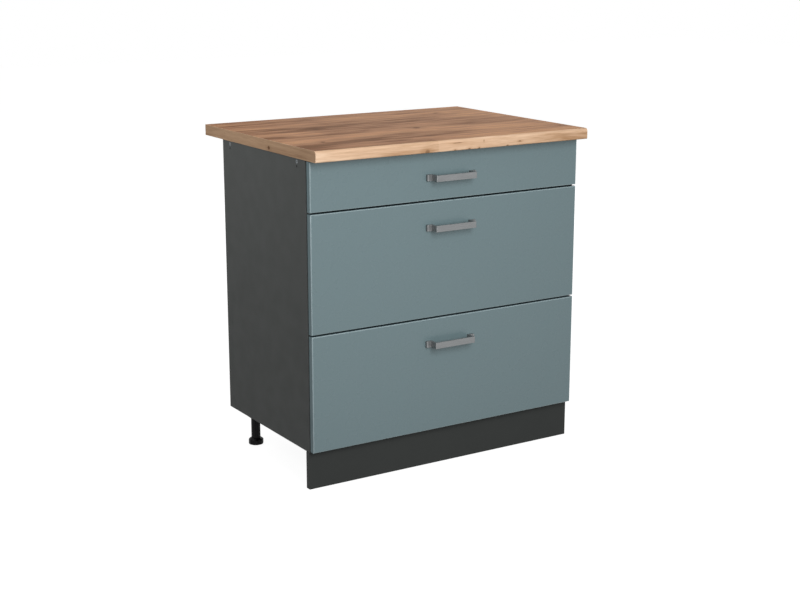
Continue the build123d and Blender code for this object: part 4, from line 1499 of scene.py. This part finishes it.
@dataclass
class Rollers:
    """The two rollers of one axle line, left and right.

    Args:
        node: the node that they stand for, and its body's name.
        name: the piece's name.
        rim: width of the raised rim on each face.
        hub: radius of the raised hub.
        dish: depth of the face between hub and rim.
        rounding: rounding of the tread's edges.
        play: the axle to the roller's bore.
        spokes: how many ribs stiffen each face.
        rib: thickness of a rib.
        rib_inset: a roller's face to its ribs.
        fitting: the shared sizes.
    """

    node: str
    name: str
    rim: float = 0.002
    hub: float = 0.0056
    dish: float = 0.0008
    rounding: float = 0.0006
    play: float = 0.00005
    spokes: int = 5
    rib: float = 0.001
    rib_inset: float = 0.0002
    fitting: Fitting = Fitting()

    def build(self) -> None:
        """Makes both rollers."""
        low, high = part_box(self.node)
        f = self.fitting
        width, inner, bore = f.roller_width, f.roller - self.rim, f.axle + self.play
        profile = [
            (bore, 0.0), (self.hub, 0.0), (self.hub, self.dish), (inner, self.dish), (inner, 0.0),
            (f.roller, 0.0), (f.roller, width), (inner, width), (inner, width - self.dish),
            (self.hub, width - self.dish), (self.hub, width), (bore, width),
        ]
        middle = Vector((low.x, (low.y + high.y) / 2, (low.z + high.z) / 2))
        mesh = turned(profile, middle, Way.X, 48, closed=True)
        treads = [
            edge for edge in sharp_edges(mesh)
            if all(hypot(v.co.y - middle.y, v.co.z - middle.z) > f.roller - TINY for v in edge.verts)
        ]
        bevelled(mesh, treads, self.rounding, 3)
        for step in range(self.spokes):
            joined(mesh, self._rib(middle, inner, 2 * pi * step / self.spokes))
        joined(mesh, mirrored(mesh))
        finish = [PALETTE.roller_plastic]
        Part(self.name, mesh, self.node, Slot.ROLLER, finish, [self.node], crease=radians(30)).publish()

    def _rib(self, middle: Vector, inner: float, turn: float) -> BMesh:
        """One rib between the hub and the rim's inner edge, turned about the axle."""
        half = self.rib / 2
        low = Vector((self.rib_inset, self.hub - half, -half))
        high = Vector((self.fitting.roller_width - self.rib_inset, inner + half, half))
        rib = block(low, high)
        bmesh.ops.rotate(rib, cent=ORIGIN, matrix=Matrix.Rotation(turn, 3, "X"), verts=rib.verts)
        bmesh.ops.translate(rib, vec=middle, verts=rib.verts)
        return rib


# ---------------------------------------------------------------- drawers
@dataclass
class Handle:
    """The bow handle of a drawer: a flat bar on two legs with feet.

    Args:
        drawer: the drawer's place.
        leg: the handle's middle to the outside of a leg.
        strip: thickness of bar and legs.
        foot_depth: how far a foot stands out from the front.
        corner: radius of the outer corners.
        crook: radius of the inner corners.
        arris: rounding of the long edges.
        score: width of the line scored down each foot.
        score_depth: its depth.
    """

    drawer: str
    leg: float = 0.06
    strip: float = 0.005
    foot_depth: float = 0.008
    corner: float = 0.002
    crook: float = 0.0012
    arris: float = 0.0007
    score: float = 0.0011
    score_depth: float = 0.0009

    def build(self) -> None:
        """Makes the handle."""
        node = f"drawer_{self.drawer}_handle"
        low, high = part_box(node)
        mesh = outline([(x, y, low.z) for x, y in self._plan(low, high)])
        outer = [v for v in mesh.verts if self._is_outer(v, low, high)]
        inner = [v for v in mesh.verts if abs(v.co.y - (low.y + self.strip)) < TINY]
        rounded(mesh, outer, self.corner)
        rounded(mesh, inner, self.crook)
        drawn(mesh, Vector((0, 0, high.z - low.z)))
        rims = [e for e in sharp_edges(mesh) if abs(e.verts[0].co.z - e.verts[1].co.z) < TINY]
        bevelled(mesh, rims, self.arris, 3)
        body, metal = f"drawer_{self.drawer}", [PALETTE.handle]
        name = f"bow_handle_{self.drawer}"
        Part(name, mesh, body, Slot.HANDLE, metal, [node], crease=radians(40)).publish()
        dress(f"{body}_handle_screws", PALETTE.plated)

    def _plan(self, low: Vector, high: Vector) -> list[tuple[float, float]]:
        """The handle seen from above, corner by corner."""
        foot = high.y - self.foot_depth
        inner = self.leg - self.strip
        score_middle = (self.leg + high.x) / 2
        near, far = score_middle - self.score / 2, score_middle + self.score / 2
        right = [
            (self.leg, low.y), (self.leg, foot), (near, foot), (near, foot + self.score_depth),
            (far, foot + self.score_depth), (far, foot), (high.x, foot), (high.x, high.y),
            (inner, high.y), (inner, low.y + self.strip),
        ]
        return right + [(-x, y) for x, y in reversed(right)]

    def _is_outer(self, vert: BMVert, low: Vector, high: Vector) -> bool:
        """Whether a corner is an outer one of the bar or of a foot."""
        at_end = abs(abs(vert.co.x) - high.x) < TINY
        on_foot = abs(vert.co.y - (high.y - self.foot_depth)) < TINY
        return abs(vert.co.y - low.y) < TINY or (on_foot and at_end)


@dataclass
class Front:
    """A drawer's front: a board in satin film, white behind.

    Args:
        drawer: the drawer's place.
        rounding: rounding of the visible edges.
        rear_rounding: rounding of the edges behind.
    """

    drawer: str
    rounding: float = 0.003
    rear_rounding: float = 0.0005

    def build(self) -> None:
        """Makes the front."""
        node = f"drawer_{self.drawer}_front"
        low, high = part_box(node)
        mesh = block(low, high)
        bevelled(mesh, edges_at(mesh, y=low.y), self.rounding, 5)
        bevelled(mesh, edges_at(mesh, y=high.y), self.rear_rounding, 2)
        p = PALETTE
        coats = [p.front, p.inside, p.front_arris_highlight, p.front_edge_shade, p.front_gap_shade]
        _, behind, arris, edge, gap_shade = range(len(coats))
        rims = [face for face in mesh.faces if -LEANING <= face.normal.y <= FACING]
        # The rounded edges take the paler film: a painted highlight.
        painted(mesh, arris, lambda face: -FACING < face.normal.y < -LEANING)
        # The edge faces take the darker film: painted shade.
        painted(mesh, edge, lambda face: face in rims)
        # Those that face up or down, in the gaps, take the darkest film: painted shade.
        painted(mesh, gap_shade, lambda face: face in rims and abs(face.normal.z) > TURNED)
        painted(mesh, behind, lambda face: face.normal.y > FACING)
        body = f"drawer_{self.drawer}"
        Part(f"front_board_{self.drawer}", mesh, body, Slot.FRONT, coats, [node]).publish()


@dataclass
class SteelSide:
    """A drawer's folded steel side: wall, hem, roller track, ledge and front tab.

    Args:
        drawer: the drawer's place.
        side: the drawer's side.
        wall: cabinet side to the wall's outer face.
        hem: width of the hem on top, with the wall.
        hem_drop: how far the hem turns down.
        ledge: width of the ledge under the base.
        tab: width of the tab behind the front.
        tab_low: base board to the tab.
        tab_gap: tab to the top of the side.
        tab_corner: radius of its free corners.
        base: thickness of the base board.
        track_rise: bottom of the side to its roller track.
        fitting: the shared sizes.
    """

    drawer: str
    side: Side
    wall: float = 0.01325
    hem: float = 0.006
    hem_drop: float = 0.005
    ledge: float = 0.012
    tab: float = 0.03
    tab_low: float = 0.002
    tab_gap: float = 0.004
    tab_corner: float = 0.004
    base: float = 0.016
    track_rise: float = 0.0291
    fitting: Fitting = Fitting()

    def build(self) -> None:
        """Makes the steel side and its roller's axle."""
        node = f"drawer_{self.drawer}_side_{self.side.word}"
        low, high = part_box(f"drawer_{self.drawer}_side_left")
        f = self.fitting
        half = f.sheet / 2
        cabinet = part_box("side_panel_left")[1].x
        wall = cabinet + self.wall + half
        hem = cabinet + self.wall - self.hem + half
        bottom, top = low.z + half, high.z - half
        section = [
            (hem, high.z - self.hem_drop), (hem, top), (wall, top), (wall, bottom),
            (wall + half + self.ledge, bottom),
        ]
        mesh = f.folded(section, low.y, high.y)
        track = low.z + self.track_rise + half
        shelf = f.folded([(cabinet + f.roller_start, track), (wall, track)], low.y, high.y)
        joined(mesh, shelf, self._tab(wall, low, high))
        names = (f"steel_side_{self.drawer}", f"drawer_axle_{self.drawer}")
        f.publish(self.side, mesh, self._axle(cabinet), names, f"drawer_{self.drawer}", node)

    def _tab(self, wall: float, low: Vector, high: Vector) -> BMesh:
        """The tab that is screwed to the front, with rounded free corners."""
        y = low.y + self.fitting.sheet / 2
        bottom = low.z + self.fitting.sheet + self.base + self.tab_low
        top = high.z - self.tab_gap
        end = wall + self.fitting.sheet / 2 + self.tab
        mesh = outline([(wall, y, bottom), (end, y, bottom), (end, y, top), (wall, y, top)])
        rounded(mesh, [vert for vert in mesh.verts if abs(vert.co.x - end) < TINY], self.tab_corner)
        return mesh

    def _axle(self, cabinet: float) -> BMesh:
        """The axle of the drawer's roller, with its shoulder at the wall."""
        f = self.fitting
        roller_low, roller_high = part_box(f"drawer_{self.drawer}_rollers")
        middle = (roller_low + roller_high) / 2
        wall = cabinet + self.wall
        tip = cabinet + f.roller_start - f.side_play / 2
        pin = f.pin(Vector((wall, middle.y, middle.z)), wall - tip, f.axle, -1)
        shoulder = wall - (cabinet + f.roller_start + f.roller_width) - f.side_play
        return joined(pin, f.pin(Vector((wall, middle.y, middle.z)), shoulder, f.axle_head, -1))


@dataclass
class Gallery:
    """The round rails over a tall drawer's steel sides, with the collars at their ends.

    Args:
        drawer: the drawer's place.
        collar: radius of a collar.
        collar_length: its length.
        straight: the share of that length before it narrows.
        lip: how far its thin end stands out from the rail.
        play: the rail to the collar's bore.
        soft: how far a rail's ends are softened.
        seat: how far a rail goes into the front and the back.
    """

    drawer: str
    collar: float = 0.008
    collar_length: float = 0.009
    straight: float = 0.55
    lip: float = 0.0012
    play: float = 0.0001
    soft: float = 0.0008
    seat: float = 0.008

    def build(self) -> None:
        """Makes both rails and their four collars."""
        node = f"drawer_{self.drawer}_gallery_rails"
        low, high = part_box(node)
        radius, height = (high.z - low.z) / 2, (high.z + low.z) / 2
        x = low.x + radius
        profile = rod(radius, high.y - low.y, self.soft)
        rail = turned(profile, Vector((x, low.y, height)), Way.Y, 36)
        joined(rail, mirrored(rail))
        body = f"drawer_{self.drawer}"
        coat, plastic = [PALETTE.coated_steel], [PALETTE.black_plastic]
        Part(f"gallery_{self.drawer}", rail, body, Slot.COATED_STEEL, coat, [node]).publish()
        bore = radius + self.play
        ring = [
            (bore, 0.0), (self.collar, 0.0), (self.collar, self.collar_length * self.straight),
            (radius + self.lip, self.collar_length), (bore, self.collar_length),
        ]
        front, back = (
            turned([(r, way * along) for r, along in ring], Vector((x, y, height)), Way.Y, 36, closed=True)
            for way, y in ((1, low.y + self.seat), (-1, high.y - self.seat))
        )
        joined(front, back)
        bmesh.ops.recalc_face_normals(front, faces=front.faces)
        joined(front, mirrored(front))
        Part(f"gallery_collars_{self.drawer}", front, body, Slot.BLACK_PLASTIC, plastic).publish()


@dataclass
class Drawer:
    """One drawer with its runners.

    Args:
        name: the drawer's place: bottom, middle or top.
        has_gallery: whether rails run above its steel sides.
    """

    name: str
    has_gallery: bool

    def build(self) -> None:
        """Makes every piece of the drawer and of the runners that carry it."""
        body = f"drawer_{self.name}"
        Front(self.name).build()
        Handle(self.name).build()
        boards = [PALETTE.drawer_board, PALETTE.chipboard]
        rear = [Way.Y.vector]
        Board(f"{body}_base", f"base_board_{self.name}", body, Slot.DRAWER_BOARD, boards, rear).build()
        Board(f"{body}_back", f"back_board_{self.name}", body, Slot.DRAWER_BOARD, boards).build()
        for side in Side:
            SteelSide(self.name, side).build()
            Runner(self.name, side).build()
        for owner in ("drawer", "runner"):
            Rollers(f"{owner}_{self.name}_rollers", f"{owner}_wheels_{self.name}").build()
        dress(f"{body}_screws", PALETTE.plated)
        if self.has_gallery:
            Gallery(self.name).build()


# ---------------------------------------------------------------- studio
@dataclass
class Lamp:
    """A large soft lamp.

    Args:
        name: the lamp's name.
        place: where it hangs.
        aim: what it points at.
        width: its width.
        height: its height.
        power: its power in watts.
    """

    name: str
    place: tuple[float, float, float]
    aim: tuple[float, float, float]
    width: float
    height: float
    power: float

    def build(self) -> None:
        """Hangs the lamp."""
        light = bpy.data.lights.new(self.name, "AREA")
        light.shape = "RECTANGLE"
        light.size = self.width
        light.size_y = self.height
        light.energy = self.power
        lamp = placed(self.name, light)
        lamp.location = self.place
        lamp.rotation_euler = (Vector(self.aim) - Vector(self.place)).to_track_quat("-Z", "Y").to_euler()


@dataclass
class Studio:
    """The floor, the light and the camera.

    Args:
        camera_place: where the camera stands.
        camera_pitch: how far it looks down, in degrees.
        camera_yaw: how far it is turned to the right of +Y, in degrees.
        lens: its focal length in millimetres, on a sensor 36 mm wide.
        ambient: strength of the even light from all round.
        floor_glow: how much of the floor's white the camera sees whatever falls on it.
        floor_size: the floor's side.
    """

    camera_place: tuple[float, float, float] = (-2.047, -3.280, 1.332)
    camera_pitch: float = 13.81
    camera_yaw: float = 32.18
    lens: float = 66.55
    ambient: float = 0.4
    floor_glow: float = 0.93
    floor_size: float = 24.0

    def build(self) -> None:
        """Sets up the studio."""
        scene = bpy.context.scene
        scene.view_settings.view_transform = "Standard"
        self._camera(scene)
        self._world(scene)
        self._floor()
        for lamp in (
            Lamp("key_lamp", (-0.4, -2.25, 1.42), (0.0, -0.3, 0.85), width=1.0, height=1.6, power=41.5),
            Lamp("side_lamp", (-1.2, 0.1, 1.1), (-0.4, 0.0, 0.84), width=0.6, height=0.4, power=3.8),
            Lamp("rear_lamp", (2.4, 3.2, 1.9), (0.0, 0.2, 0.4), width=2.4, height=2.4, power=76.0),
        ):
            lamp.build()

    def _camera(self, scene: bpy.types.Scene) -> None:
        """Places the camera as the photograph was seen."""
        lens = bpy.data.cameras.new("camera")
        lens.sensor_width = 36.0
        lens.lens = self.lens
        lens.clip_end = 100.0
        camera = placed("camera", lens)
        camera.location = self.camera_place
        camera.rotation_euler = (radians(90 - self.camera_pitch), 0.0, radians(-self.camera_yaw))
        scene.camera = camera

    def _world(self, scene: bpy.types.Scene) -> None:
        """Even light from all round, which the camera and mirrors see as white."""
        world = bpy.data.worlds.new("studio")
        graph = cleared(world)
        seen = self._seen(graph)
        strength = graph.ranged(seen, 0.0, 1.0, self.ambient, 1.0)
        background = graph.add("ShaderNodeBackground", {"Color": (1.0, 1.0, 1.0), "Strength": strength})
        graph.add("ShaderNodeOutputWorld", {"Surface": background.outputs[0]})
        scene.world = world

    @staticmethod
    def _seen(graph: Graph) -> Socket:
        """Whether a ray comes from the camera, a mirror or glass."""
        path = graph.add("ShaderNodeLightPath").outputs
        seen = graph.maths("MAXIMUM", path["Is Camera Ray"], path["Is Glossy Ray"])
        return graph.maths("MAXIMUM", seen, path["Is Transmission Ray"])

    def _floor(self) -> None:
        """A pale floor that keeps the cabinet's shadow."""
        half = self.floor_size / 2
        mesh = outline([(-half, -half, 0), (half, -half, 0), (half, half, 0), (-half, half, 0)])
        data = bpy.data.meshes.new("floor")
        mesh.to_mesh(data)
        mesh.free()
        floor = placed("floor", data)
        material = bpy.data.materials.new("pale_floor")
        graph = cleared(material)
        matt = graph.add("ShaderNodeBsdfDiffuse", {"Color": (0.19, 0.19, 0.19)})
        glow = graph.add("ShaderNodeEmission", {"Color": (1.0, 1.0, 1.0)})
        graph.feed(glow.inputs["Strength"], graph.times(self._seen(graph), self.floor_glow))
        both = graph.add("ShaderNodeAddShader", {0: matt.outputs[0], 1: glow.outputs[0]})
        graph.add("ShaderNodeOutputMaterial", {"Surface": both.outputs[0]})
        data.materials.append(material)


def main() -> None:
    """Builds the studio and then the cabinet, piece by piece."""
    logging.basicConfig(level=logging.INFO, format="%(name)s: %(message)s")
    Studio().build()
    Worktop().build()
    Carcass().build()
    Legs().build()
    for name, has_gallery in (("bottom", True), ("middle", True), ("top", False)):
        Drawer(name, has_gallery).build()


if __name__ == "__main__":
    main()
